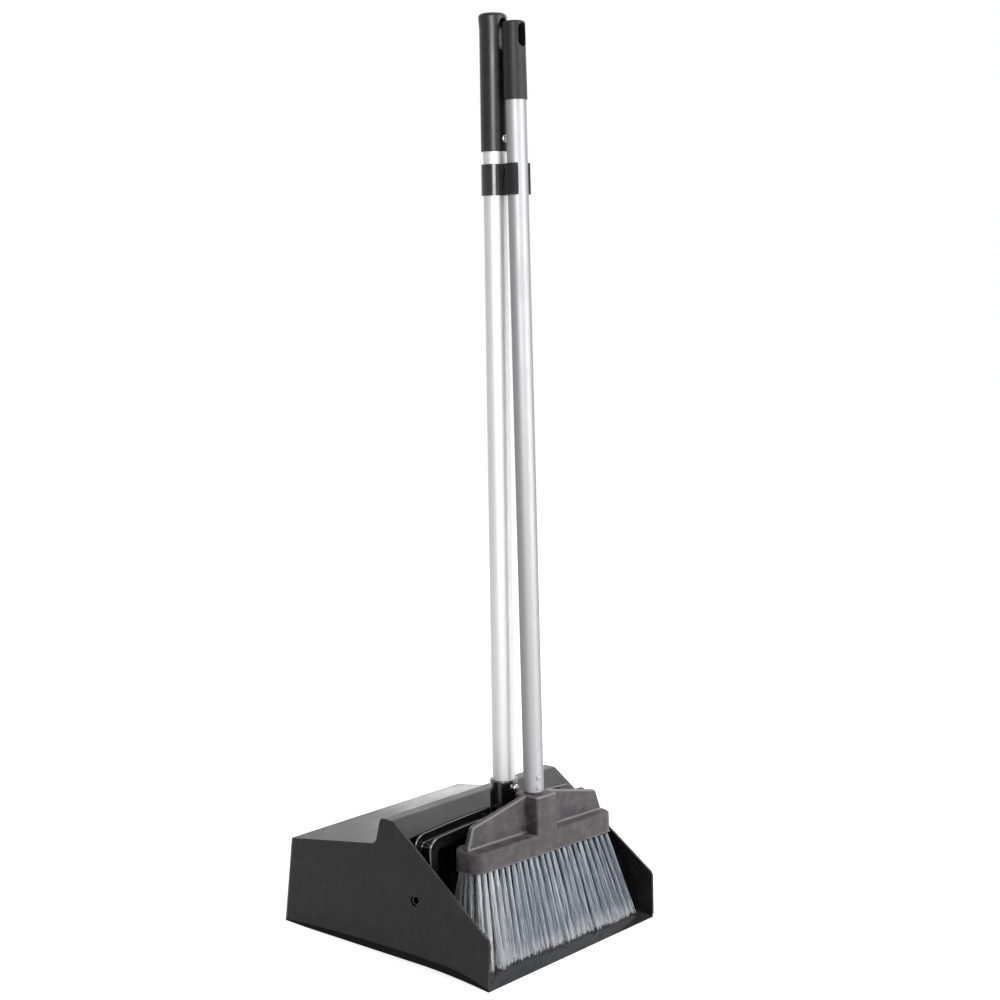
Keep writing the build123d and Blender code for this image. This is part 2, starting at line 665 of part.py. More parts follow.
grip_slot_rise = broom_grip_top - HANG_SLOT_DROP - HANG_SLOT_LENGTH / 2
with BuildPart() as broom_grip:
    with BuildSketch(front_of(broom_straight)):
        with BuildLine():
            Polyline(
                (0, broom_grip_low),
                (BROOM_GRIP_LOW_RADIUS, broom_grip_low),
                (BROOM_GRIP_TOP_RADIUS, broom_grip_top),
                (0, broom_grip_top),
                close=True,
            )
        make_face()
    revolve(axis=Axis(broom.origin, broom.z_dir))
    cap_rims = broom_grip.edges().filter_by(GeomType.CIRCLE)
    fillet(cap_rims.sort_by(Axis(broom.origin, broom.z_dir))[-1], BROOM_GRIP_ROUND)
    with BuildSketch(broom.offset(broom_grip_low)):
        Circle(BROOM_TUBE_RADIUS + FIT)
    extrude(amount=broom_tube_top + FIT - broom_grip_low, mode=Mode.SUBTRACT)
    with BuildSketch(front_of(broom_straight)):
        with Locations((0, grip_slot_rise)):
            SlotOverall(HANG_SLOT_LENGTH, HANG_SLOT_WIDTH, rotation=90)
    extrude(amount=PAST, both=True, mode=Mode.SUBTRACT)
broom_grip.part.label = "broom_grip"


# Bristles: strands in tufts, splayed sideways and forwards, on a slice of the head's underside
def strand_root(index, half):
    """Place of a strand along the head, gathered into tufts."""
    tuft, strand = divmod(index, STRANDS_PER_TUFT)
    tuft_place = -half + 2 * half * tuft / (TUFTS_PER_ROW - 1)
    return tuft_place + (strand - (STRANDS_PER_TUFT - 1) / 2) * STRAND_PITCH


def bristle_row(row):
    strands_per_row = TUFTS_PER_ROW * STRANDS_PER_TUFT
    inset = END_ROW_INSET if row in (0, BRISTLE_ROWS - 1) else 0
    row_y = (row - (BRISTLE_ROWS - 1) / 2) * ROW_PITCH
    tip_row_y = row_y - BRISTLE_FORWARD_FLARE * (1 - row / (BRISTLE_ROWS - 1))
    root_plane = broom.offset(BRISTLE_LENGTH + STRAND_EMBED)
    strands = []
    for index in range(strands_per_row):
        tip_x = -tip_half + 2 * tip_half * index / (strands_per_row - 1)
        root = root_plane * Pos(strand_root(index, root_half - inset), row_y) * Rectangle(STRAND_ROOT, STRAND_ROOT)
        tip = broom * Pos(tip_x, tip_row_y) * Rectangle(STRAND_TIP, STRAND_TIP)
        strands.append(loft([root, tip], ruled=True))
    with BuildPart() as bristles:
        with BuildSketch(broom.offset(BRISTLE_LENGTH)):
            with Locations((0, row_y)):
                Rectangle(2 * (slice_half - inset), ROW_PITCH - ROW_GAP)
        extrude(amount=SLICE_THICKNESS)
        add(strands)
    bristles.part.label = f"bristle_row_{row + 1}"
    return bristles


bristle_rows = [bristle_row(row) for row in range(BRISTLE_ROWS)]


pieces = [
    pan_body,
    yoke,
    *pivot_pins,
    pan_tube,
    socket_screw,
    pan_grip,
    grip_screw,
    broom_clip,
    broom_head,
    threaded_tip,
    broom_tube,
    *tip_rivets,
    broom_grip,
    *bristle_rows,
]
os.makedirs("parts", exist_ok=True)
for piece in pieces:
    export_step(piece.part, f"parts/{piece.part.label}.step")
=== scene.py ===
"""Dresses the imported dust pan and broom: finished pieces, materials, a plain studio and a camera."""

import json
import math
import random

import bpy
from mathutils import Matrix, Vector
from mathutils.bvhtree import BVHTree


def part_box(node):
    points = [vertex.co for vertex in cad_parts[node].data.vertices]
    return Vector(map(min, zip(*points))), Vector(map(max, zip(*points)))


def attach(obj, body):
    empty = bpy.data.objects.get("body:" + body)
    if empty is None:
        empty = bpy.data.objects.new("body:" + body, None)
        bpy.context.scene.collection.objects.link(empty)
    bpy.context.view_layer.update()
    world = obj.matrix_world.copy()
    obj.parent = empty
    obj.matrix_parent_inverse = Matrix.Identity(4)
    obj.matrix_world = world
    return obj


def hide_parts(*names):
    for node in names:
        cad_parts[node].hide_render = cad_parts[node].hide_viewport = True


bl_info = {
    "name": "Dust pan and broom",
    "version": (1, 0, 0),
    "blender": (4, 5, 0),
    "location": "3D View > Sidebar > Dust pan",
    "description": "Finishes an upright dust pan with its broom and sets it in a plain studio",
    "category": "Object",
}

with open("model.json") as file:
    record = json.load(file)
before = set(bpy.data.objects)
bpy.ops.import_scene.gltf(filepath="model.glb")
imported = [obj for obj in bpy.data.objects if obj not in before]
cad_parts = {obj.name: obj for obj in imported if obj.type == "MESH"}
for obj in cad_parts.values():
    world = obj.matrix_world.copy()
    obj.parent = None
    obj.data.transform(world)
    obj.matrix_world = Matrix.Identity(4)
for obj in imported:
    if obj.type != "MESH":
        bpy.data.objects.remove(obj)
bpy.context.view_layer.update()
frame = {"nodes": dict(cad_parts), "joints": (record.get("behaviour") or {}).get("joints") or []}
JOINTS = {joint["name"]: joint for joint in frame["joints"]}
BRISTLE_NODES = sorted(name for name in frame["nodes"] if name.startswith("bristle_row_"))
ROWS = len(BRISTLE_NODES)

PAN_MESH = frame["nodes"]["pan_body"].data
PAN_SOLID = BVHTree.FromPolygons(
    [point.co for point in PAN_MESH.vertices], [face.vertices for face in PAN_MESH.polygons]
)

# Clean-up of the copy of a CAD node
MERGE_DISTANCE = 0.00002
FLAT_ANGLE = math.radians(0.6)

# In degrees: edges of a moulding that are rounded, and facets of a round piece that are shaded as one
EDGE_ANGLE = 28.0
ROUND_ANGLE = 40.0

# Slots of the materials on a piece with its own material on its rounded edges, on the clip and on the pan; on
# the pan and the broom's head that edge material is a lighter colour, a painted highlight
EDGE_SLOT = 1
JAW_SLOT = 1
PAN_FINISHES = ("Pan plastic", "Pan edge", "Skirt plastic", "Floor plastic", "Deck plastic")
SKIRT_SHADE_SLOT, LIT_FLOOR_SLOT, DECK_SLOT = 2, 3, 4

# Least part of a normal that makes a face of the pan a side or a top
SIDE_FACE = 0.9
TOP_FACE = 0.8
# How far a set-in face may be off the skirt's inset, as a share of it
SKIRT_TOLERANCE = 0.4
# Angle in radians within which an edge lies at the mouth of the clip's jaw
MOUTH_TOLERANCE = 0.03

# Rounding at a tube's rim, as a share of its wall, and along the edges of the grips and the strips
RIM_SHARE = 0.3
GRIP_EDGE = 0.0005
STRIP_EDGE = 0.0003
# A strip reaches past its last tufts and leaves a gap to the next row; the tufts start inside it
STRIP_MARGIN = 0.003
STRIP_GAP = 0.0001
ROOT_SINK = 0.0005

# Spread of the random lean of tufts and filaments, in metres
TUFT_LEAN_ACROSS = 0.0009
TUFT_LEAN_DEEP = 0.001
FILAMENT_BOW = 0.0009
TIP_DRIFT = 0.0011
TIP_LIFT = 0.0022
# Points along a filament, and how much of its radius it loses towards the tip
FILAMENT_POINTS = 5
FILAMENT_TAPER = 0.45
# Share of a row's half, from the middle, past which the left tips splay
SPLAY_START = 0.6
# Height over the tips from which the pan's floor is looked for
TIP_SEARCH = 0.03

# White floor: its size, and how far it lies below the pan
FLOOR_SIZE = 30.0
FLOOR_DROP = 0.0004
WHITE = (1.0, 1.0, 1.0, 1.0)


def box_middle(node):
    """Middle of a node's box at rest."""
    low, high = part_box(node)
    return (Vector(low) + Vector(high)) / 2


def box_size(node):
    """Lengths of a node's box at rest."""
    low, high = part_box(node)
    return Vector(high) - Vector(low)


def length_property(name, description, default):
    """A length in metres that a user may change."""
    return bpy.props.FloatProperty(
        name=name, description=description, default=default, min=0.0, precision=5, unit="LENGTH"
    )


def share_property(name, description, default):
    """A value between none and all."""
    return bpy.props.FloatProperty(
        name=name, description=description, default=default, min=0.0, max=1.0, subtype="FACTOR"
    )


def angle_property(name, description, default):
    """An angle, given in degrees and kept in radians."""
    return bpy.props.FloatProperty(
        name=name, description=description, default=math.radians(default), unit="ROTATION"
    )


def colour_property(name, description, default):
    """A linear colour."""
    return bpy.props.FloatVectorProperty(
        name=name, description=description, default=default, size=3, min=0.0, max=1.0, subtype="COLOR"
    )


def power_property(name, description, default):
    """The power of a lamp in watts."""
    return bpy.props.FloatProperty(name=name, description=description, default=default, min=0.0, unit="POWER")


def count_property(name, description, default):
    """A whole number of like things."""
    return bpy.props.IntProperty(name=name, description=description, default=default, min=1)


class PanSizes(bpy.types.PropertyGroup):
    """Sizes of the pan's moulding, its yoke and its stick."""

    pan_edge: length_property("Pan edge", "Rounding along the edges of the pan", 0.001)
    wall_draft: angle_property("Wall draft", "How far the pan's side walls lean inwards", 2.6)
    skirt_inset: length_property("Skirt inset", "How far the foot of a wall is set in", 0.0016)
    skirt_rise: length_property("Skirt rise", "Height of the set-in foot", 0.014)
    yoke_edge: length_property("Yoke edge", "Rounding along the edges of the yoke", 0.00125)
    pin_edge: length_property("Pin edge", "Rounding at the ends of the pivot pins", 0.0004)
    clip_edge: length_property("Clip edge", "Rounding along the edges of the clip", 0.0004)
    jaw_mouth: angle_property("Jaw mouth", "Angle of the clip's mouth, seen from above", 94.0)
    jaw_corner: length_property("Jaw corner", "Rounding of the jaw's free corners", 0.0045)
    jaw_reach: length_property("Jaw reach", "Reach of the jaw from the broom's axis", 0.0146)
    stick_lean: angle_property("Stick lean", "How far the pan's stick leans back", 1.1)
    tube_wall: length_property("Tube wall", "Thickness of the stick's wall", 0.0012)
    cross_length: length_property("Cross length", "Length of a screw's cross recess", 0.0046)
    cross_width: length_property("Cross width", "Width of a screw's cross recess", 0.0009)
    cross_depth: length_property("Cross depth", "Depth of a screw's cross recess", 0.0013)


class BroomSizes(bpy.types.PropertyGroup):
    """Sizes of the broom."""

    head_edge: length_property("Head edge", "Rounding along the edges of the head", 0.0019)
    turn: angle_property("Turn", "How far the broom is turned about its stick", 4.2)
    tube_wall: length_property("Tube wall", "Thickness of the stick's wall", 0.001)
    tube_rise: length_property("Tube rise", "From the tips to the stick's lower end", 0.161)
    bristle_length: length_property("Bristle length", "From the head's underside to the tips", 0.095)
    root_half: length_property("Root half", "Half the length of a row at the head", 0.1027)
    tip_half: length_property("Tip half", "Half the length of a row at the tips", 0.1185)
    tip_shift: length_property("Tip shift", "How far use has swept the tips to the right", 0.005)
    tip_sweep: length_property("Tip sweep", "How far the left tips stand forward of the middle", 0.004)
    tip_gap: length_property("Tip gap", "Room between the lowest tips and the pan's floor", 0.0004)
    forward_flare: length_property("Forward flare", "How far the front row splays forwards", 0.020)
    row_pitch: length_property("Row pitch", "Distance between the rows", 0.0062)
    end_row_inset: length_property("End row inset", "How much shorter the outer rows are at each end", 0.004)
    end_splay: length_property("End splay", "How far the tips at the left end splay out", 0.006)
    slice_thickness: length_property("Slice thickness", "Thickness of a row's strip in the head", 0.003)
    tuft_radius: length_property("Tuft radius", "Radius of a tuft where it leaves the head", 0.0021)
    tuft_spread: length_property("Tuft spread", "Radius of a tuft at its tips", 0.0044)
    filament_radius: length_property("Filament radius", "Radius of one filament", 0.0003)
    tufts: count_property("Tufts", "Tufts in one row", 24)
    filaments: count_property("Filaments", "Filaments in one tuft", 58)
    seed: count_property("Seed", "Start of the random lean of the filaments", 7)


class Finishes(bpy.types.PropertyGroup):
    """Colours of the materials."""

    pan: colour_property("Pan", "Satin black of the pan", (0.017, 0.0147, 0.0152))
    yoke: colour_property("Yoke", "Glossy black of the yoke", (0.006, 0.006, 0.0065))
    grip: colour_property("Grip", "Charcoal of the grips and clip", (0.0145, 0.0137, 0.0149))
    head: colour_property("Head", "Matt dark grey of the broom's head", (0.0495, 0.0448, 0.0486))
    # Painted highlight: the head's rounded edges are a lighter grey than its plastic.
    head_edge: colour_property("Head edge", "Painted highlight along the edges of the broom's head", (0.19, 0.18, 0.188))
    # Painted highlight: the pan's rounded edges are a lighter black than its walls.
    pan_edge: colour_property("Pan edge", "Painted highlight along the edges of the pan", (0.04, 0.038, 0.038))
    # Painted shade: the set-in foot under each wall is made near black.
    skirt: colour_property("Skirt", "Painted shade on the pan's set-in foot", (0.004, 0.004, 0.004))
    # Painted light: the pan's floor and lip are a lighter black than its walls; the scuffs on it are real
    # marks.
    floor: colour_property("Floor", "Scuffed black of the pan's floor and lip, lighter than the walls as painted light", (0.032, 0.029, 0.0294))
    dust: colour_property("Dust", "Colour of rubbed and dusty spots", (0.16, 0.155, 0.15))
    stick: colour_property("Stick", "Bright aluminium of the pan's stick", (0.72, 0.72, 0.724))
    broom_stick: colour_property("Broom stick", "Greyer aluminium of the broom", (0.252, 0.252, 0.256))
    steel: colour_property("Steel", "Plated screws", (0.66, 0.66, 0.67))
    rivet: colour_property("Rivet", "Dull plating of the rivets", (0.3, 0.3, 0.31))
    bristle: colour_property("Bristle", "Grey of the bristles", (0.42, 0.465, 0.53))
    # The bristle tip colour is also the painted light on the left end of the bristles.
    bristle_tip: colour_property("Bristle tip", "Paler split tips of the bristles", (0.82, 0.845, 0.88))


class Studio(bpy.types.PropertyGroup):
    """Camera and light."""

    azimuth: angle_property("Azimuth", "Direction of the camera round the object", -48.78)
    pitch: angle_property("Pitch", "How far the camera looks down", 7.825)
    distance: length_property("Distance", "From the camera to the middle of the view", 1.95143)
    aim: bpy.props.FloatVectorProperty(
        name="Aim",
        description="Middle of the view",
        default=(0.00911, -0.03923, 0.48032),
        size=3,
        subtype="XYZ",
        unit="LENGTH",
    )
    lens: bpy.props.FloatProperty(
        name="Lens", description="Focal length on a 36 mm wide sensor", default=64.73, unit="CAMERA"
    )
    ambient: share_property("Ambient", "Strength of the soft light from all round", 0.17)
    floor_glow: share_property("Floor glow", "How white the floor is to the eye", 0.86)
    key: power_property("Key", "Power of the front softbox", 56.0)
    fill: power_property("Fill", "Power of the right softbox", 18.0)
    top: power_property("Top", "Power of the top softbox", 8.0)
    glint: power_property("Glint", "Power of the card beside the camera, which only shows in gloss", 52.0)
    card: power_property("Card", "Power of the card in front, which only shows in gloss", 54.0)
    rim: power_property("Rim", "Power of the rear card, which only shows in gloss", 1.4)


def clear_selection():
    """Leaves edit mode and deselects everything, because an operator acts on all that is selected."""
    if bpy.context.object and bpy.context.object.mode != "OBJECT":
        bpy.ops.object.mode_set(mode="OBJECT")
    bpy.ops.object.select_all(action="DESELECT")


def pick(piece):
    """Makes a piece the only one selected, and active."""
    clear_selection()
    piece.select_set(True)
    bpy.context.view_layer.objects.active = piece


def named(name):
    """Names the object that a primitive operator just added, and its mesh."""
    piece = bpy.context.active_object
    piece.name = name
    piece.data.name = name
    return piece


def apply_modifier(piece, kind, label, **settings):
    """Adds a modifier with its settings and applies it."""
    modifier = piece.modifiers.new(label, kind)
    for key, value in settings.items():
        setattr(modifier, key, value)
    pick(piece)
    bpy.ops.object.modifier_apply(modifier=modifier.name)


def select_edges(piece, test):
    """Selects, in edit mode, the edges whose two ends pass a test."""
    bpy.ops.object.mode_set(mode="EDIT")
    bpy.ops.mesh.select_mode(type="EDGE")
    bpy.ops.mesh.select_all(action="DESELECT")
    bpy.ops.object.mode_set(mode="OBJECT")
    points = piece.data.vertices
    for edge in piece.data.edges:
        edge.select = test(points[edge.vertices[0]].co, points[edge.vertices[1]].co)
    bpy.ops.object.mode_set(mode="EDIT")


def mark_outward(piece, angle=EDGE_ANGLE):
    """Gives a bevel weight to the outward edges sharper than an angle, and none to the creases."""
    sides = {}
    for face in piece.data.polygons:
        for key in face.edge_keys:
            sides.setdefault(key, []).append(face)
    weights = piece.data.attributes.new("bevel_weight_edge", "FLOAT", "EDGE")
    for edge in piece.data.edges:
        first, second = sides[edge.key][0], sides[edge.key][-1]
        outward = (second.center - first.center).dot(first.normal) < 0.0
        sharp = first.normal.angle(second.normal) > math.radians(angle)
        weights.data[edge.index].value = 1.0 if outward and sharp else 0.0


def round_edges(piece, width, angle=EDGE_ANGLE, segments=3, slot=-1, clamp=False, limit="ANGLE"):
    """Rounds the edges sharper than an angle, with the rounded strips in a slot; clamp spares thin edges."""
    apply_modifier(
        piece,
        "BEVEL",
        "Rounded edges",
        width=width,
        segments=segments,
        limit_method=limit,
        angle_limit=math.radians(angle),
        use_clamp_overlap=clamp,
        material=slot,
    )


def smooth(piece, angle=32.0):
    """Smooths a piece between its sharp edges and keeps its flat faces flat."""
    pick(piece)
    bpy.ops.object.shade_smooth_by_angle(angle=math.radians(angle))
    apply_modifier(piece, "WEIGHTED_NORMAL", "Flat faces", keep_sharp=True, weight=60)


def copy_of_node(node, name):
    """Copy of a CAD node's solid, with its loose triangles merged and its flat faces made whole."""
    mesh = frame["nodes"][node].data.copy()
    mesh.name = name
    mesh.materials.clear()
    piece = bpy.data.objects.new(name, mesh)
    bpy.context.collection.objects.link(piece)
    pick(piece)
    bpy.ops.mesh.customdata_custom_splitnormals_clear()
    bpy.ops.object.mode_set(mode="EDIT")
    bpy.ops.mesh.select_all(action="SELECT")
    bpy.ops.mesh.remove_doubles(threshold=MERGE_DISTANCE)
    bpy.ops.mesh.dissolve_limited(angle_limit=FLAT_ANGLE)
    bpy.ops.object.mode_set(mode="OBJECT")
    return piece


def set_in_place(piece, place):
    """Puts a piece that was made about its own axis where it belongs, with its place in its mesh."""
    pick(piece)
    piece.matrix_world = place
    bpy.ops.object.transform_apply(location=True, rotation=True, scale=True)


def leaning_frame(origin, lean, turn=0.0):
    """Frame on a stick's axis: Z runs up the stick and -Y faces the front."""
    return Matrix.Translation(origin) @ Matrix.Rotation(-lean, 4, "X") @ Matrix.Rotation(-turn, 4, "Z")


def stick_frame(sizes):
    """Frame of the pan's stick, with its origin level with the pivot."""
    middle = box_middle("pan_tube")
    pivot = Vector(JOINTS["handle_tilt"]["pos_m"])
    drop = (middle.z - pivot.z) * math.tan(sizes.stick_lean)
    return leaning_frame(Vector((0.0, middle.y - drop, pivot.z)), sizes.stick_lean)


def broom_lean():
    """How far the broom's stick leans back."""
    axis = Vector(JOINTS["broom_lift"]["axis"]).normalized()
    return math.atan2(axis.y, axis.z)


def broom_frame(sizes):
    """Frame of the broom's stick, with its origin at the tips of the bristles."""
    axis = Vector(JOINTS["broom_lift"]["axis"]).normalized()
    size = box_size("broom_tube")
    length = (size.z - size.x * axis.y) / axis.z
    foot = box_middle("broom_tube") - axis * (length / 2 + sizes.tube_rise)
    return leaning_frame(Vector((0.0, foot.y, foot.z)), broom_lean(), sizes.turn)


def row_half(sizes, index):
    """Half the length of a row at the head: the outer rows end before the head's round corners."""
    outer = index in (0, ROWS - 1)
    return sizes.root_half - (sizes.end_row_inset if outer else 0.0)


def row_depth(sizes, index):
    """How far a row lies behind the middle of the head."""
    return (index - (ROWS - 1) / 2) * sizes.row_pitch


def set_materials(piece, *materials):
    """Gives a piece its materials, one for each slot."""
    piece.data.materials.clear()
    for material in materials:
        piece.data.materials.append(material)


def finish_piece(piece, body, slot, *nodes):
    """Ties a piece to its body and hides the CAD nodes that it stands for; the finish that it is given is not
    used.
    """
    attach(piece, body)
    if nodes:
        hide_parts(*nodes)


def remove(piece):
    """Deletes a helper object."""
    pick(piece)
    bpy.ops.object.delete()


def cut_away(piece, cutter):
    """Cuts one solid out of another and deletes the cutter."""
    apply_modifier(piece, "BOOLEAN", "Cut", operation="DIFFERENCE", solver="EXACT", object=cutter)
    remove(cutter)


def new_group(name, inputs, outputs):
    """New shader node group with named inputs and outputs."""
    group = bpy.data.node_groups.new(name, "ShaderNodeTree")
    for label, kind, value in inputs:
        socket = group.interface.new_socket(name=label, in_out="INPUT", socket_type=kind)
        if value is not None:
            socket.default_value = value
    for label, kind in outputs:
        group.interface.new_socket(name=label, in_out="OUTPUT", socket_type=kind)
    return group, group.nodes.new("NodeGroupInput"), group.nodes.new("NodeGroupOutput")


def add_node(tree, kind, label, values=None, **settings):
    """Adds a node, sets it up and fills its input values by name or number."""
    node = tree.nodes.new(kind)
    node.label = label
    for key, value in settings.items():
        setattr(node, key, value)
    for key, value in (values or {}).items():
        node.inputs[key].default_value = value
    return node


def feed(tree, socket, value):
    """Links another socket to an input, or sets the input to a value."""
    if isinstance(value, bpy.types.NodeSocket):
        tree.links.new(value, socket)
    else:
        socket.default_value = value


def noise(tree, label, vector, scale, detail=3.0, roughness=0.5):
    """Noise texture on a vector socket, with a fixed or linked scale."""
    node = add_node(tree, "ShaderNodeTexNoise", label, {"Detail": detail, "Roughness": roughness})
    feed(tree, node.inputs["Vector"], vector)
    feed(tree, node.inputs["Scale"], scale)
    return node.outputs["Fac"]


def remap(tree, label, value, low, high, to_low=0.0, to_high=1.0):
    """Maps a value from one range to another; the target range may be linked."""
    node = add_node(tree, "ShaderNodeMapRange", label, {"From Min": low, "From Max": high})
    feed(tree, node.inputs["Value"], value)
    feed(tree, node.inputs["To Min"], to_low)
    feed(tree, node.inputs["To Max"], to_high)
    return node.outputs["Result"]


def calculate(tree, label, operation, *values):
    """Arithmetic on sockets and numbers."""
    node = add_node(tree, "ShaderNodeMath", label, operation=operation)
    for socket, value in zip(node.inputs, values):
        feed(tree, socket, value)
    return node.outputs["Value"]


def mix_colours(tree, label, factor, first, second):
    """Blends two colours, given as sockets or values, by a factor socket."""
    node = add_node(tree, "ShaderNodeMix", label, data_type="RGBA")
    feed(tree, node.inputs["Factor"], factor)
    for socket, value in ((node.inputs[6], first), (node.inputs[7], second)):
        linked = isinstance(value, bpy.types.NodeSocket)
        feed(tree, socket, value if linked else (*value, 1.0))
    return node.outputs[2]


def stretched(tree, label, vector, scale):
    """Vector scaled by a different amount along each axis."""
    node = add_node(tree, "ShaderNodeMapping", label, {"Scale": scale})
    tree.links.new(vector, node.inputs["Vector"])
    return node.outputs["Vector"]


def uneven_gloss(group, entry, value, low, high):
    """Roughness that follows a value between the two limits that a group is given."""
    limits = (entry.outputs["Low Roughness"], entry.outputs["High Roughness"])
    return remap(group, "Uneven gloss", value, low, high, *limits)


def moulded_surface_group():
    """Fine grain of a moulded skin, and the uneven gloss that goes with it."""
    group, entry, end = new_group(
        "Moulded surface",
        [
            ("Vector", "NodeSocketVector", None),
            ("Grain Scale", "NodeSocketFloat", 900.0),
            ("Low Roughness", "NodeSocketFloat", 0.3),
            ("High Roughness", "NodeSocketFloat", 0.5),
        ],
        [("Height", "NodeSocketFloat"), ("Roughness", "NodeSocketFloat")],
    )
    grain = noise(group, "Grain", entry.outputs["Vector"], entry.outputs["Grain Scale"], 3.0, 0.6)
    flow = noise(group, "Flow of the melt", entry.outputs["Vector"], 14.0, 5.0, 0.55)
    weak_grain = calculate(group, "Weak grain", "MULTIPLY", grain, 0.35)
    both = calculate(group, "Grain on flow", "ADD", weak_grain, flow)
    rough = uneven_gloss(group, entry, both, 0.45, 0.95)
    group.links.new(grain, end.inputs["Height"])
    group.links.new(rough, end.inputs["Roughness"])
    return group


def rubbed_group():
    """Pale rubbed patches and specks of dust on a dark plastic."""
    group, entry, end = new_group(
        "Rubbed and dusty",
        [
            ("Vector", "NodeSocketVector", None),
            ("Plastic", "NodeSocketColor", (0.02, 0.02, 0.02, 1.0)),
            ("Dust", "NodeSocketColor", (0.16, 0.155, 0.15, 1.0)),
            ("Amount", "NodeSocketFloat", 0.1),
        ],
        [("Color", "NodeSocketColor"), ("Mask", "NodeSocketFloat")],
    )
    vector = entry.outputs["Vector"]
    patches = remap(group, "Patches", noise(group, "Patch noise", vector, 11.0, 6.0, 0.62), 0.47, 0.74)
    specks = remap(group, "Specks", noise(group, "Speck noise", vector, 420.0, 2.0, 0.5), 0.42, 0.7)
    lines = stretched(group, "Long scratches", vector, (30.0, 520.0, 60.0))
    scratches = remap(group, "Scratches", noise(group, "Scratch noise", lines, 1.0, 3.0, 0.55), 0.62, 0.74)
    rubbed = calculate(group, "Specks in patches", "MULTIPLY", patches, specks)
    marked = calculate(group, "Scratches in patches", "MULTIPLY", patches, scratches)
    smudge_noise = noise(group, "Smudge noise", vector, 70.0, 4.0, 0.65)
    smudges = remap(group, "Smudges", smudge_noise, 0.44, 0.66, 0.0, 0.95)
    fine = calculate(group, "Fine marks", "MAXIMUM", rubbed, marked)
    marks = calculate(group, "All marks", "MAXIMUM", fine, smudges)
    mask = calculate(group, "Share of marks", "MULTIPLY", marks, entry.outputs["Amount"])
    colour = mix_colours(group, "Dusty plastic", mask, entry.outputs["Plastic"], entry.outputs["Dust"])
    group.links.new(colour, end.inputs["Color"])
    group.links.new(mask, end.inputs["Mask"])
    return group


def drawn_tube_group():
    """Long fine lines that drawing and anodising leave on a tube."""
    group, entry, end = new_group(
        "Drawn tube",
        [
            ("Vector", "NodeSocketVector", None),
            ("Metal", "NodeSocketColor", (0.8, 0.8, 0.8, 1.0)),
            ("Streak", "NodeSocketColor", (0.6, 0.6, 0.6, 1.0)),
            ("Low Roughness", "NodeSocketFloat", 0.2),
            ("High Roughness", "NodeSocketFloat", 0.35),
        ],
        [("Color", "NodeSocketColor"), ("Roughness", "NodeSocketFloat"), ("Height", "NodeSocketFloat")],
    )
    vector = entry.outputs["Vector"]
    lines = stretched(group, "Along the tube", vector, (1500.0, 1500.0, 6.0))
    fine = noise(group, "Fine lines", lines, 1.0, 3.0, 0.6)
    bands = stretched(group, "Wide bands", vector, (160.0, 160.0, 1.4))
    broad = noise(group, "Broad bands", bands, 1.0, 3.0, 0.5)
    haze = noise(group, "Handling haze", vector, 18.0, 5.0, 0.6)
    streak = calculate(group, "Streaks", "MULTIPLY", remap(group, "Fine", fine, 0.35, 0.75), broad)
    colour = mix_colours(group, "Streaked metal", streak, entry.outputs["Metal"], entry.outputs["Streak"])
    weak_lines = calculate(group, "Weak lines", "MULTIPLY", fine, 0.4)
    both = calculate(group, "Lines and haze", "ADD", weak_lines, haze)
    rough = uneven_gloss(group, entry, both, 0.45, 1.0)
    group.links.new(colour, end.inputs["Color"])
    group.links.new(rough, end.inputs["Roughness"])
    group.links.new(fine, end.inputs["Height"])
    return group


def shared_group(name, maker):
    """The named node group, made the first time that it is asked for."""
    return bpy.data.node_groups.get(name) or maker()


def new_material(name):
    """Empty material with its shader and Object coordinates."""
    material = bpy.data.materials.new(name)
    material.use_nodes = True
    tree = material.node_tree
    shader = tree.nodes["Principled BSDF"]
    place = add_node(tree, "ShaderNodeTexCoord", "Place on the object").outputs["Object"]
    return material, tree, shader, place


def place_group(tree, group, vector, values):
    """Places a node group on a vector socket with its own values."""
    node = add_node(tree, "ShaderNodeGroup", group.name, values, node_tree=group)
    tree.links.new(vector, node.inputs["Vector"])
    return node


def bump(tree, shader, height, strength, distance):
    """Turns a height into the shader's normal."""
    node = add_node(tree, "ShaderNodeBump", "Relief", {"Strength": strength, "Distance": distance})
    tree.links.new(height, node.inputs["Height"])
    tree.links.new(node.outputs["Normal"], shader.inputs["Normal"])


def moulded_plastic(name, colour, grain, gloss, relief, marks, specular, dust):
    """Moulded plastic with grain, uneven gloss and rubbed patches."""
    material, tree, shader, place = new_material(name)
    surface = place_group(
        tree,
        shared_group("Moulded surface", moulded_surface_group),
        place,
        {"Grain Scale": grain, "Low Roughness": gloss[0], "High Roughness": gloss[1]},
    )
    rubbed = place_group(
        tree,
        shared_group("Rubbed and dusty", rubbed_group),
        place,
        {"Plastic": (*colour, 1.0), "Dust": (*dust, 1.0), "Amount": marks},
    )
    mask = rubbed.outputs["Mask"]
    gloss_here = surface.outputs["Roughness"]
    worn = calculate(tree, "Duller where rubbed", "MULTIPLY_ADD", mask, 0.5, gloss_here)
    tree.links.new(rubbed.outputs["Color"], shader.inputs["Base Color"])
    tree.links.new(worn, shader.inputs["Roughness"])
    shader.inputs["Specular IOR Level"].default_value = specular
    bump(tree, shader, surface.outputs["Height"], strength=relief, distance=0.0004)
    return material


def drawn_metal(name, colour, streak, gloss, relief, metallic):
    """Drawn and anodised tube; the thicker its anodising, the less metallic it looks."""
    material, tree, shader, place = new_material(name)
    tube = place_group(
        tree,
        shared_group("Drawn tube", drawn_tube_group),
        place,
        {
            "Metal": (*colour, 1.0),
            "Streak": (*streak, 1.0),
            "Low Roughness": gloss[0],
            "High Roughness": gloss[1],
        },
    )
    tree.links.new(tube.outputs["Color"], shader.inputs["Base Color"])
    tree.links.new(tube.outputs["Roughness"], shader.inputs["Roughness"])
    shader.inputs["Metallic"].default_value = metallic
    bump(tree, shader, tube.outputs["Height"], strength=relief, distance=0.0001)
    return material


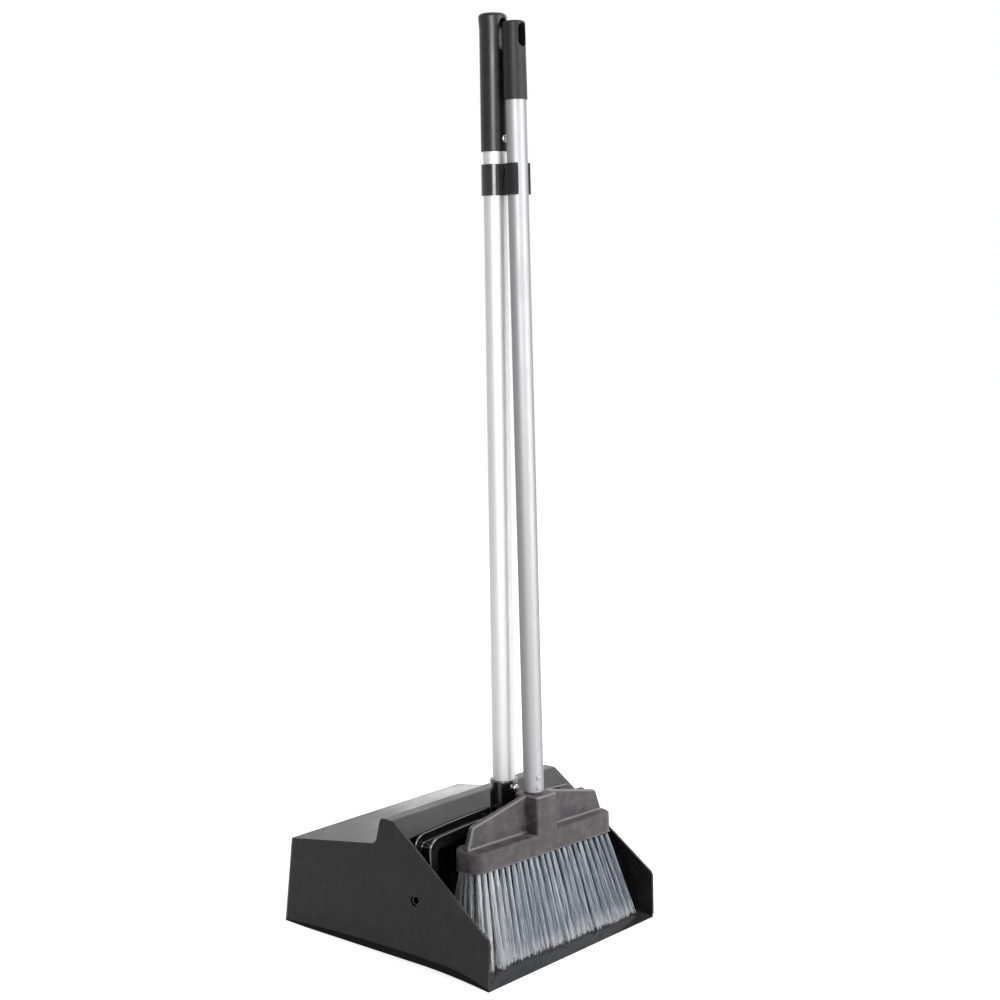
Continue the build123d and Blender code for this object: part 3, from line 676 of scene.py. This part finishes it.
def plated_steel(name, colour):
    """Plated steel of screws and rivets, a little cloudy."""
    material, tree, shader, place = new_material(name)
    surface = place_group(
        tree,
        shared_group("Moulded surface", moulded_surface_group),
        place,
        {"Grain Scale": 1600.0, "Low Roughness": 0.16, "High Roughness": 0.4},
    )
    cloud = remap(tree, "Cloudy plating", surface.outputs["Height"], 0.35, 0.7)
    darker = tuple(part * 0.7 for part in colour)
    tree.links.new(mix_colours(tree, "Plating", cloud, colour, darker), shader.inputs["Base Color"])
    tree.links.new(surface.outputs["Roughness"], shader.inputs["Roughness"])
    shader.inputs["Metallic"].default_value = 1.0
    bump(tree, shader, surface.outputs["Height"], strength=0.12, distance=0.0002)
    return material


def fan_coordinates(tree, place, sizes):
    """Place in the bristles: up from the tips, across the fan from -1 to 1, and back through the rows."""
    stand = broom_frame(sizes)
    local = add_node(tree, "ShaderNodeMapping", "Stand on the broom", vector_type="TEXTURE")
    local.inputs["Location"].default_value = stand.to_translation()
    local.inputs["Rotation"].default_value = stand.to_euler("XYZ")
    tree.links.new(place, local.inputs["Vector"])
    parts = add_node(tree, "ShaderNodeSeparateXYZ", "Across, deep, up")
    tree.links.new(local.outputs["Vector"], parts.inputs["Vector"])
    up = remap(tree, "Tip to root", parts.outputs["Z"], 0.0, sizes.bristle_length)
    half = remap(tree, "Half width here", up, 0.0, 1.0, sizes.tip_half, row_half(sizes, 0))
    shift = remap(tree, "Swept to the right", up, 0.0, 1.0, sizes.tip_shift, 0.0)
    across = calculate(tree, "Across the fan", "SUBTRACT", parts.outputs["X"], shift)
    fan = calculate(tree, "Place in the fan", "DIVIDE", across, half)
    lean = remap(tree, "Front row here", up, 0.0, 1.0, -sizes.forward_flare, 0.0)
    row_reach = row_depth(sizes, ROWS - 1)
    front = calculate(tree, "Front of the rows", "ADD", lean, -row_reach)
    inside = calculate(tree, "Behind the front", "SUBTRACT", parts.outputs["Y"], front)
    span = calculate(tree, "Depth of the rows", "SUBTRACT", row_reach, front)
    depth = calculate(tree, "Row", "DIVIDE", inside, span)
    return up, fan, depth


def filament_greys(tree, finishes, fan, streak, bunch):
    """Grey of each filament: paler at the left end, a painted light, and darker at the right end, a painted
    shade.
    """
    half_bunch = calculate(tree, "Half", "MULTIPLY", bunch, 0.5)
    lively = calculate(tree, "Lively", "ADD", half_bunch, streak)
    pale = tuple(min(1.0, part * 1.9) for part in finishes.bristle)
    dark = tuple(part * 0.6 for part in finishes.bristle)
    shade = remap(tree, "Dark to pale", lively, 0.52, 0.98)
    grey = mix_colours(tree, "Grey filaments", shade, dark, pale)
    # Painted light: the filaments at the left end are mixed towards the pale tip colour.
    worn = remap(tree, "Painted light at the left end", fan, -0.45, -0.9, 0.0, 0.95)
    grey = mix_colours(tree, "Lit filaments at the left end", worn, grey, finishes.bristle_tip)
    # Painted shade: the filaments at the right end are mixed towards the dark grey.
    dim = remap(tree, "Painted shade at the right end", fan, 0.35, 0.9, 0.0, 0.5)
    return mix_colours(tree, "Shaded filaments at the right end", dim, grey, dark)


def tuft_shade(tree, sizes, up, fan, depth, streak, bunch):
    """Share of shade: in the gaps between tufts, which close downwards, and deep among the rows."""
    wander = calculate(tree, "Wandering gaps", "MULTIPLY", bunch, 0.5)
    from_end = calculate(tree, "From the left end", "ADD", fan, 1.0)
    count = calculate(tree, "Tuft number", "MULTIPLY", from_end, (sizes.tufts - 1) / 2)
    gap_place = calculate(tree, "Gap place", "ADD", count, wander)
    phase = calculate(tree, "Place in the tuft", "FRACT", gap_place)
    centred = calculate(tree, "Centred", "SUBTRACT", phase, 0.75)
    off_middle = calculate(tree, "From the gap", "ABSOLUTE", centred)
    gap_width = remap(tree, "Gaps close downwards", up, 0.1, 0.9, 0.07, 0.27)
    gap = calculate(tree, "Gap between tufts", "LESS_THAN", off_middle, gap_width)
    ragged = remap(tree, "Ragged gap", streak, 0.4, 0.6, 1.0, 0.5)
    gap = calculate(tree, "Gap by row", "MULTIPLY", gap, ragged)
    ends = calculate(tree, "Towards an end", "ABSOLUTE", fan)
    deep_sides = remap(tree, "Away from the ends", ends, 0.98, 0.9)
    rear = calculate(tree, "Rear", "SUBTRACT", 1.0, depth)
    deep_rows = calculate(tree, "Inner row", "MULTIPLY", depth, rear)
    inner = remap(tree, "Inner rows", deep_rows, 0.03, 0.16)
    deep = calculate(tree, "Deep inside", "MULTIPLY", inner, deep_sides)
    soft_gap = calculate(tree, "Soft gap", "MULTIPLY", gap, 0.92)
    hidden = calculate(tree, "In shade", "MAXIMUM", soft_gap, deep)
    return calculate(tree, "Shade", "MULTIPLY", hidden, 0.95)


def bristle_material(sizes, finishes):
    """Grey filaments: streaks that follow the fan, shade between the tufts and pale split tips."""
    material, tree, shader, place = new_material("Bristle filament")
    up, fan, depth = fan_coordinates(tree, place, sizes)
    joined = add_node(tree, "ShaderNodeCombineXYZ", "Fan coordinates")
    tree.links.new(fan, joined.inputs["X"])
    tree.links.new(calculate(tree, "Depth", "MULTIPLY", depth, 0.5), joined.inputs["Y"])
    tree.links.new(calculate(tree, "Length", "MULTIPLY", up, 0.02), joined.inputs["Z"])
    streak = noise(tree, "Single filaments", joined.outputs["Vector"], 190.0, 2.0, 0.6)
    bunch = noise(tree, "Bunches", joined.outputs["Vector"], 24.0, 2.0, 0.5)
    grey = filament_greys(tree, finishes, fan, streak, bunch)
    shade = tuft_shade(tree, sizes, up, fan, depth, streak, bunch)
    shaded = tuple(part * 0.05 for part in finishes.bristle)
    colour = mix_colours(tree, "Shade between tufts", shade, grey, shaded)
    tip = remap(tree, "Pale at the tip", up, 0.16, -0.02)
    tipped = mix_colours(tree, "Pale tips", tip, colour, finishes.bristle_tip)
    tree.links.new(tipped, shader.inputs["Base Color"])
    tree.links.new(remap(tree, "Gloss", streak, 0.3, 0.7, 0.32, 0.55), shader.inputs["Roughness"])
    shader.inputs["Specular IOR Level"].default_value = 0.5
    return material


def materials_of(scene):
    """All materials by name, made once."""
    finishes = scene.dust_pan_finishes
    kept = {material.name: material for material in bpy.data.materials}
    if "Pan plastic" in kept:
        return kept
    # Name, colour, scale of the grain, lowest and highest roughness, relief, share of marks, specular level
    plastics = (
        ("Pan plastic", finishes.pan, 750.0, (0.17, 0.3), 0.07, 0.1, 0.18),
        # Painted highlight: a lighter black for the pan's rounded edges.
        ("Pan edge", finishes.pan_edge, 750.0, (0.2, 0.34), 0.05, 0.2, 0.4),
        # Painted shade: near black for the set-in foot of each wall.
        ("Skirt plastic", finishes.skirt, 750.0, (0.6, 0.75), 0.08, 0.03, 0.08),
        ("Deck plastic", finishes.pan, 750.0, (0.3, 0.42), 0.08, 0.12, 0.24),
        # Painted light: a lighter black for the up-facing floor and lip.
        ("Floor plastic", finishes.floor, 500.0, (0.1, 0.2), 0.08, 0.14, 0.9),
        ("Yoke plastic", finishes.yoke, 380.0, (0.1, 0.2), 0.03, 0.05, 0.5),
        ("Yoke edge", finishes.yoke, 380.0, (0.1, 0.2), 0.02, 0.1, 1.0),
        ("Grip plastic", finishes.grip, 1300.0, (0.28, 0.4), 0.08, 0.08, 0.32),
        ("Cap plastic", finishes.grip, 1300.0, (0.42, 0.55), 0.1, 0.1, 0.23),
        ("Clip plastic", finishes.grip, 900.0, (0.15, 0.25), 0.04, 0.06, 0.48),
        ("Jaw plastic", finishes.grip, 900.0, (0.55, 0.7), 0.05, 0.06, 0.2),
        ("Head plastic", finishes.head, 640.0, (0.44, 0.62), 0.22, 0.85, 0.3),
        # Painted highlight: the head's rounded outward edges take this lighter grey.
        ("Head edge", finishes.head_edge, 640.0, (0.34, 0.5), 0.15, 0.3, 0.4),
    )
    # Name, colour, colour of the streaks, lowest and highest roughness, relief, metallic share
    metals = (
        ("Stick aluminium", finishes.stick, (0.66, 0.66, 0.664), (0.46, 0.56), 0.05, 0.55),
        ("Broom aluminium", finishes.broom_stick, (0.21, 0.21, 0.214), (0.5, 0.6), 0.06, 1.0),
    )
    made = [moulded_plastic(*plastic, finishes.dust) for plastic in plastics]
    made += [drawn_metal(*metal) for metal in metals]
    made.append(plated_steel("Plated steel", finishes.steel))
    made.append(plated_steel("Rivet steel", finishes.rivet))
    made.append(bristle_material(scene.dust_pan_broom, finishes))
    return {material.name: material for material in made}


class PanMoulding(bpy.types.Operator):
    """Pan: the moulding with its hood, walls and lip, its edges rounded"""

    bl_idname = "dustpan.pan_moulding"
    bl_label = "Pan moulding"

    def sort_faces(self, pan, sizes):
        """Puts the set-in foot of each wall, in painted shade, the floor, in a lighter black for painted
        light, and the deck in slots of their own.
        """
        wall = box_size("pan_body").x / 2
        for face in pan.data.polygons:
            middle = face.center
            outward = face.normal.x * middle.x > 0.0 and abs(face.normal.x) > SIDE_FACE
            depth = wall - abs(middle.x) - middle.z * math.tan(sizes.wall_draft)
            set_in = abs(depth / sizes.skirt_inset - 1.0) < SKIRT_TOLERANCE
            low = middle.z < sizes.skirt_rise
            # Painted shade: the set-in foot takes the near-black skirt material.
            if outward and set_in and low:
                face.material_index = SKIRT_SHADE_SLOT
            # Painted light: up-facing faces low down take the lighter floor black.
            if face.normal.z > TOP_FACE:
                face.material_index = LIT_FLOOR_SLOT if low else DECK_SLOT

    def execute(self, context):
        sizes = context.scene.dust_pan_sizes
        made = materials_of(context.scene)
        pan = copy_of_node("pan_body", "pan_moulding")
        set_materials(pan, *(made[finish] for finish in PAN_FINISHES))
        self.sort_faces(pan, sizes)
        # The rounded edges go in the lighter Pan edge slot: a painted highlight.
        round_edges(pan, sizes.pan_edge, slot=EDGE_SLOT, clamp=True)
        smooth(pan)
        finish_piece(pan, "pan", "pan_plastic", "pan_body")
        return {"FINISHED"}


class YokeAndPins(bpy.types.Operator):
    """Yoke and the two pins that it swings on"""

    bl_idname = "dustpan.yoke_and_pins"
    bl_label = "Yoke and pins"

    def execute(self, context):
        sizes = context.scene.dust_pan_sizes
        made = materials_of(context.scene)
        yoke = copy_of_node("yoke", "yoke_arch")
        set_materials(yoke, made["Yoke plastic"], made["Yoke edge"])
        round_edges(yoke, sizes.yoke_edge, slot=EDGE_SLOT)
        smooth(yoke)
        finish_piece(yoke, "handle", "gloss_black", "yoke")
        for side in ("left", "right"):
            pin = copy_of_node(f"pivot_pin_{side}", f"hollow_pin_{side}")
            set_materials(pin, made["Yoke plastic"], made["Yoke edge"])
            round_edges(pin, sizes.pin_edge, slot=EDGE_SLOT)
            smooth(pin)
            finish_piece(pin, "handle", "gloss_black", f"pivot_pin_{side}")
        return {"FINISHED"}


class Sticks(bpy.types.Operator):
    """Both aluminium tubes, with rounded rims"""

    bl_idname = "dustpan.sticks"
    bl_label = "Sticks"

    def tube(self, name, node, place, wall):
        """Tube about its own axis, as long and as wide as its node."""
        ends = [place.inverted() @ Vector(corner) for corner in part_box(node)]
        low = min(end.z for end in ends)
        high = max(end.z for end in ends)
        clear_selection()
        bpy.ops.mesh.primitive_cylinder_add(
            vertices=96,
            radius=box_size(node).x / 2,
            depth=high - low,
            end_fill_type="NOTHING",
            location=(0.0, 0.0, (low + high) / 2),
        )
        piece = named(name)
        set_in_place(piece, place @ Matrix.Translation((0.0, 0.0, (low + high) / 2)))
        apply_modifier(piece, "SOLIDIFY", "Wall", thickness=wall, offset=-1.0)
        round_edges(piece, wall * RIM_SHARE, ROUND_ANGLE, segments=2)
        smooth(piece, ROUND_ANGLE)
        return piece

    def execute(self, context):
        made = materials_of(context.scene)
        sizes = context.scene.dust_pan_sizes
        broom = context.scene.dust_pan_broom
        stick = self.tube("pan_stick", "pan_tube", stick_frame(sizes), sizes.tube_wall)
        set_materials(stick, made["Stick aluminium"])
        finish_piece(stick, "handle", "aluminium", "pan_tube")
        tube = self.tube("broom_stick", "broom_tube", broom_frame(broom), broom.tube_wall)
        set_materials(tube, made["Broom aluminium"])
        finish_piece(tube, "broom", "broom_aluminium", "broom_tube")
        return {"FINISHED"}


class Grips(bpy.types.Operator):
    """Grip of the pan's stick and cap of the broom's stick"""

    bl_idname = "dustpan.grips"
    bl_label = "Grips"

    def execute(self, context):
        made = materials_of(context.scene)
        for node, name, body, finish in (
            ("pan_grip", "flared_grip", "handle", "Grip plastic"),
            ("broom_grip", "tapered_cap", "broom", "Cap plastic"),
        ):
            grip = copy_of_node(node, name)
            set_materials(grip, made[finish])
            round_edges(grip, GRIP_EDGE, angle=30.0, segments=2)
            smooth(grip, ROUND_ANGLE)
            finish_piece(grip, body, "grip_plastic", node)
        return {"FINISHED"}


class BroomClip(bpy.types.Operator):
    """Clip on the pan's stick that holds the broom"""

    bl_idname = "dustpan.broom_clip"
    bl_label = "Broom clip"

    def round_jaw(self, clip, sizes, broom):
        """Rounds the four free corners of the jaw, and leaves the jaw dull."""
        inward = leaning_frame(broom_frame(broom).to_translation(), broom_lean()).inverted()
        low, high = (inward @ Vector(corner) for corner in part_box("broom_clip"))
        middle = (low.z + high.z) / 2

        def off_mouth(spot):
            return abs(math.atan2(abs(spot.x), -spot.y) - sizes.jaw_mouth / 2)

        def free_corner(first, second):
            ends = [inward @ first, inward @ second]
            beside = all(off_mouth(end) < MOUTH_TOLERANCE for end in ends)
            level = (ends[0].z - middle) * (ends[1].z - middle) > 0.0
            return beside and level and (first - second).length < 2 * sizes.jaw_corner

        pick(clip)
        select_edges(clip, free_corner)
        bpy.ops.mesh.bevel(offset=sizes.jaw_corner, segments=6, affect="EDGES")
        bpy.ops.object.mode_set(mode="OBJECT")
        for face in clip.data.polygons:
            if (inward @ face.center).xy.length < sizes.jaw_reach:
                face.material_index = JAW_SLOT

    def execute(self, context):
        sizes = context.scene.dust_pan_sizes
        clip = copy_of_node("broom_clip", "stick_clip")
        made = materials_of(context.scene)
        set_materials(clip, made["Clip plastic"], made["Jaw plastic"])
        self.round_jaw(clip, sizes, context.scene.dust_pan_broom)
        round_edges(clip, sizes.clip_edge)
        smooth(clip)
        finish_piece(clip, "handle", "grip_plastic", "broom_clip")
        return {"FINISHED"}


class BroomHead(bpy.types.Operator):
    """Head of the broom: base, back plate and socket boss"""

    bl_idname = "dustpan.broom_head"
    bl_label = "Broom head"

    def execute(self, context):
        made = materials_of(context.scene)
        head = copy_of_node("broom_head", "head_moulding")
        set_materials(head, made["Head plastic"], made["Head edge"])
        # Only the outward edges are rounded into the lighter Head edge material, a painted highlight; the
        # creases stay dark.
        mark_outward(head)
        round_edges(head, context.scene.dust_pan_broom.head_edge, slot=EDGE_SLOT, limit="WEIGHT")
        smooth(head)
        finish_piece(head, "broom", "head_plastic", "broom_head")
        set_materials(frame["nodes"]["threaded_tip"], made["Head plastic"])
        return {"FINISHED"}


class Fasteners(bpy.types.Operator):
    """Screws of the pan's stick and rivets of the broom's stick"""

    bl_idname = "dustpan.fasteners"
    bl_label = "Fasteners"

    def cut_cross(self, screw, node, sizes):
        """Cuts the cross recess into a screw's head."""
        middle = box_middle(node)
        face = Vector((middle.x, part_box(node)[0][1], middle.z))
        place = leaning_frame(face, sizes.stick_lean)
        bar = (sizes.cross_length, sizes.cross_width)
        for length, width in (bar, reversed(bar)):
            clear_selection()
            bpy.ops.mesh.primitive_cube_add(size=1.0)
            cutter = named("cross_cutter")
            set_in_place(cutter, place @ Matrix.Diagonal((length, 2 * sizes.cross_depth, width, 1.0)))
            cut_away(screw, cutter)

    def execute(self, context):
        made = materials_of(context.scene)
        for node, body, finish in (
            ("socket_screw", "handle", "Plated steel"),
            ("grip_screw", "handle", "Plated steel"),
            ("tip_rivet_lower", "broom", "Rivet steel"),
            ("tip_rivet_upper", "broom", "Rivet steel"),
        ):
            piece = copy_of_node(node, f"{node}_plated")
            set_materials(piece, made[finish])
            if node.endswith("screw"):
                self.cut_cross(piece, node, context.scene.dust_pan_sizes)
            smooth(piece, ROUND_ANGLE)
            finish_piece(piece, body, "steel", node)
        return {"FINISHED"}


class Bristles(bpy.types.Operator):
    """Rows of tufts, each tuft many thin filaments that splay and split at the tips"""

    bl_idname = "dustpan.bristles"
    bl_label = "Bristles"

    def filament(self, curve, root, tip, chance):
        """One bent filament from its root to its tip."""
        bow = Vector((chance.gauss(0.0, FILAMENT_BOW), chance.gauss(0.0, FILAMENT_BOW), 0.0))
        spline = curve.splines.new("POLY")
        spline.points.add(FILAMENT_POINTS - 1)
        for step, point in enumerate(spline.points):
            share = step / (FILAMENT_POINTS - 1)
            spot = root.lerp(tip, share) + bow * math.sin(math.pi * share)
            point.co = (*spot, 1.0)
            point.radius = 1.0 - FILAMENT_TAPER * share

    def rest_height(self, place, aim):
        """Height of the pan's floor under a tuft's tips, in the broom's own frame."""
        above = place @ (aim + Vector((0.0, 0.0, TIP_SEARCH)))
        hit = PAN_SOLID.ray_cast(above, Vector((0.0, 0.0, -1.0)))[0]
        return (place.inverted() @ hit).z

    def splay(self, sizes, share):
        """Extra reach to the left of the tips near the left end."""
        return sizes.end_splay * max(0.0, (-share - SPLAY_START) / (1 - SPLAY_START)) ** 2

    def filaments(self, sizes, index, place, chance):
        """All the filaments of one row, as a curve in the broom's own frame."""
        curve = bpy.data.curves.new(f"filaments_{index + 1}", "CURVE")
        curve.dimensions = "3D"
        curve.bevel_depth = sizes.filament_radius
        curve.bevel_resolution = 0
        curve.use_fill_caps = True
        depth = row_depth(sizes, index)
        tip_depth = depth - sizes.forward_flare * (1 - index / (ROWS - 1))
        half = row_half(sizes, index)
        for tuft in range(sizes.tufts):
            share = 2 * tuft / (sizes.tufts - 1) - 1
            middle = Vector((share * half, depth, sizes.bristle_length + ROOT_SINK))
            across = share * sizes.tip_half + sizes.tip_shift - self.splay(sizes, share)
            aim = Vector((across, tip_depth + share * sizes.tip_sweep, 0.0))
            aim += Vector((chance.gauss(0.0, TUFT_LEAN_ACROSS), chance.gauss(0.0, TUFT_LEAN_DEEP), 0.0))
            aim.z = self.rest_height(place, aim) + sizes.tip_gap
            for _ in range(sizes.filaments):
                angle = chance.uniform(0.0, 2 * math.pi)
                reach = math.sqrt(chance.random())
                outward = Vector((math.cos(angle), math.sin(angle), 0.0)) * reach
                root = middle + outward * sizes.tuft_radius
                drift = Vector((chance.gauss(0.0, TIP_DRIFT), chance.gauss(0.0, TIP_DRIFT), 0.0))
                tip = aim + outward * sizes.tuft_spread + drift
                tip.z += abs(chance.gauss(0.0, TIP_LIFT))
                self.filament(curve, root, tip, chance)
        return curve

    def tufts(self, context, sizes, index, place, chance):
        """One row of tufts as a mesh in its place."""
        curve = self.filaments(sizes, index, place, chance)
        tufts = bpy.data.objects.new(f"tufts_{index + 1}", curve)
        context.collection.objects.link(tufts)
        pick(tufts)
        bpy.ops.object.convert(target="MESH")
        tufts = context.active_object
        set_in_place(tufts, place)
        bpy.ops.object.shade_smooth()
        return tufts

    def strip(self, sizes, index, place):
        """Strip of the head's underside that a row stands in."""
        clear_selection()
        bpy.ops.mesh.primitive_cube_add(size=1.0)
        strip = named(f"bristle_strip_{index + 1}")
        rise = sizes.bristle_length + sizes.slice_thickness / 2
        half = row_half(sizes, index) + STRIP_MARGIN
        reach = Matrix.Diagonal((2 * half, sizes.row_pitch - STRIP_GAP, sizes.slice_thickness, 1.0))
        set_in_place(strip, place @ Matrix.Translation((0.0, row_depth(sizes, index), rise)) @ reach)
        round_edges(strip, STRIP_EDGE, ROUND_ANGLE, segments=2)
        smooth(strip)
        return strip

    def execute(self, context):
        sizes = context.scene.dust_pan_broom
        made = materials_of(context.scene)
        place = broom_frame(sizes)
        chance = random.Random(sizes.seed)
        for index, node in enumerate(BRISTLE_NODES):
            tufts = self.tufts(context, sizes, index, place, chance)
            set_materials(tufts, made["Bristle filament"])
            finish_piece(tufts, "broom", "bristle", node)
            strip = self.strip(sizes, index, place)
            set_materials(strip, made["Head plastic"])
            finish_piece(strip, "broom", "head_plastic")
        return {"FINISHED"}


def seen_directly(tree):
    """Mask of the rays that show a background: camera, mirror and glass rays."""
    path = add_node(tree, "ShaderNodeLightPath", "Kind of ray")
    mask = path.outputs["Is Camera Ray"]
    for kind in ("Is Glossy Ray", "Is Transmission Ray"):
        mask = calculate(tree, kind, "MAXIMUM", mask, path.outputs[kind])
    return mask


class StudioStage(bpy.types.Operator):
    """White floor, soft light all round, softboxes and the camera"""

    bl_idname = "dustpan.studio_stage"
    bl_label = "Studio"

    def floor(self, glow_strength):
        """Wide white floor that keeps the object's shadow."""
        clear_selection()
        bpy.ops.mesh.primitive_plane_add(size=FLOOR_SIZE, location=(0.0, 0.0, -FLOOR_DROP))
        floor = named("studio_floor")
        bpy.ops.object.transform_apply(location=True, rotation=True, scale=True)
        material, tree, shader, place = new_material("White floor")
        mottle = noise(tree, "Faint mottle", place, 3.0, 2.0, 0.5)
        shade = mix_colours(tree, "White", mottle, (0.9, 0.9, 0.9), (0.92, 0.92, 0.92))
        tree.links.new(shade, shader.inputs["Base Color"])
        shader.inputs["Roughness"].default_value = 0.9
        shader.inputs["Specular IOR Level"].default_value = 0.0
        shader.inputs["Emission Color"].default_value = WHITE
        glow = calculate(tree, "White to the eye", "MULTIPLY", seen_directly(tree), glow_strength)
        tree.links.new(glow, shader.inputs["Emission Strength"])
        floor.data.materials.append(material)

    def surround(self, scene, ambient):
        """White all round: full white to the eye, softer as light."""
        world = bpy.data.worlds.new("White surround")
        scene.world = world
        world.use_nodes = True
        tree = world.node_tree
        background = tree.nodes["Background"]
        background.inputs["Color"].default_value = WHITE
        strength = remap(tree, "Soft light or white", seen_directly(tree), 0.0, 1.0, ambient, 1.0)
        tree.links.new(strength, background.inputs["Strength"])

    def softbox(self, name, place, aim, size, power):
        """Rectangular soft light turned towards a point."""
        clear_selection()
        turn = (Vector(aim) - Vector(place)).to_track_quat("-Z", "Y").to_euler()
        bpy.ops.object.light_add(type="AREA", location=place, rotation=turn)
        lamp = bpy.context.active_object
        lamp.name = name
        lamp.data.shape = "RECTANGLE"
        lamp.data.size = size[0]
        lamp.data.size_y = size[1]
        lamp.data.energy = power
        lamp.visible_camera = False
        return lamp

    def execute(self, context):
        scene = context.scene
        studio = scene.dust_pan_studio
        scene.view_settings.view_transform = "Standard"
        self.floor(studio.floor_glow)
        self.surround(scene, studio.ambient)
        aim = (0.0, 0.0, 0.35)
        # Name, place, aim, size and power of each lamp; the cards only show in gloss
        softboxes = (
            ("front_softbox", (0.6, -2.35, 1.6), aim, (1.5, 2.0), studio.key),
            ("right_softbox", (2.1, 0.2, 1.9), aim, (1.4, 1.4), studio.fill),
            ("top_softbox", (-0.2, -0.5, 2.6), aim, (1.4, 1.4), studio.top),
        )
        cards = (
            ("camera_card", (-1.87, -1.17, 1.2), (0.0, 0.0, 0.9), (0.9, 0.9), studio.glint),
            ("front_card", (0.35, -2.4, 0.45), (0.0, 0.0, 0.45), (3.4, 0.9), studio.card),
            ("rear_card", (0.87, 0.76, 0.25), (0.12, 0.08, 0.17), (0.42, 0.4), studio.rim),
        )
        for softbox in softboxes:
            self.softbox(*softbox)
        for card in cards:
            self.softbox(*card).visible_diffuse = False
        ahead = Vector(
            (
                -math.sin(studio.azimuth) * math.cos(studio.pitch),
                math.cos(studio.azimuth) * math.cos(studio.pitch),
                -math.sin(studio.pitch),
            )
        )
        place = Vector(studio.aim) - ahead * studio.distance
        clear_selection()
        bpy.ops.object.camera_add(location=place, rotation=ahead.to_track_quat("-Z", "Y").to_euler())
        camera = context.active_object
        camera.name = "photo_camera"
        camera.data.sensor_fit = "HORIZONTAL"
        camera.data.sensor_width = 36.0
        camera.data.lens = studio.lens
        camera.data.clip_start = 0.01
        camera.data.clip_end = 100.0
        scene.camera = camera
        return {"FINISHED"}


class DustPanPanel(bpy.types.Panel):
    """Lists the pieces and their sizes in the sidebar"""

    bl_idname = "VIEW3D_PT_dust_pan"
    bl_label = "Dust pan and broom"
    bl_space_type = "VIEW_3D"
    bl_region_type = "UI"
    bl_category = "Dust pan"

    def draw(self, context):
        layout = self.layout
        for operator in OPERATORS:
            layout.operator(operator.bl_idname)
        for name, _ in GROUPS:
            values = getattr(context.scene, name)
            column = layout.column(align=True)
            for key in values.bl_rna.properties.keys():
                if key not in ("rna_type", "name"):
                    column.prop(values, key)


GROUPS = (
    ("dust_pan_sizes", PanSizes),
    ("dust_pan_broom", BroomSizes),
    ("dust_pan_finishes", Finishes),
    ("dust_pan_studio", Studio),
)
OPERATORS = (
    StudioStage,
    PanMoulding,
    YokeAndPins,
    Sticks,
    Grips,
    BroomClip,
    BroomHead,
    Fasteners,
    Bristles,
)


def register():
    """Registers the property groups, operators and panel."""
    for name, group in GROUPS:
        bpy.utils.register_class(group)
        setattr(bpy.types.Scene, name, bpy.props.PointerProperty(type=group))
    for operator in OPERATORS:
        bpy.utils.register_class(operator)
    bpy.utils.register_class(DustPanPanel)


def unregister():
    """Takes away what register added."""
    bpy.utils.unregister_class(DustPanPanel)
    for operator in reversed(OPERATORS):
        bpy.utils.unregister_class(operator)
    for name, group in reversed(GROUPS):
        delattr(bpy.types.Scene, name)
        bpy.utils.unregister_class(group)


def main():
    """Registers the add-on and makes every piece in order."""
    register()
    bpy.ops.dustpan.studio_stage()
    bpy.ops.dustpan.pan_moulding()
    bpy.ops.dustpan.yoke_and_pins()
    bpy.ops.dustpan.sticks()
    bpy.ops.dustpan.grips()
    bpy.ops.dustpan.broom_clip()
    bpy.ops.dustpan.broom_head()
    bpy.ops.dustpan.fasteners()
    bpy.ops.dustpan.bristles()


if __name__ == "__main__":
    main()
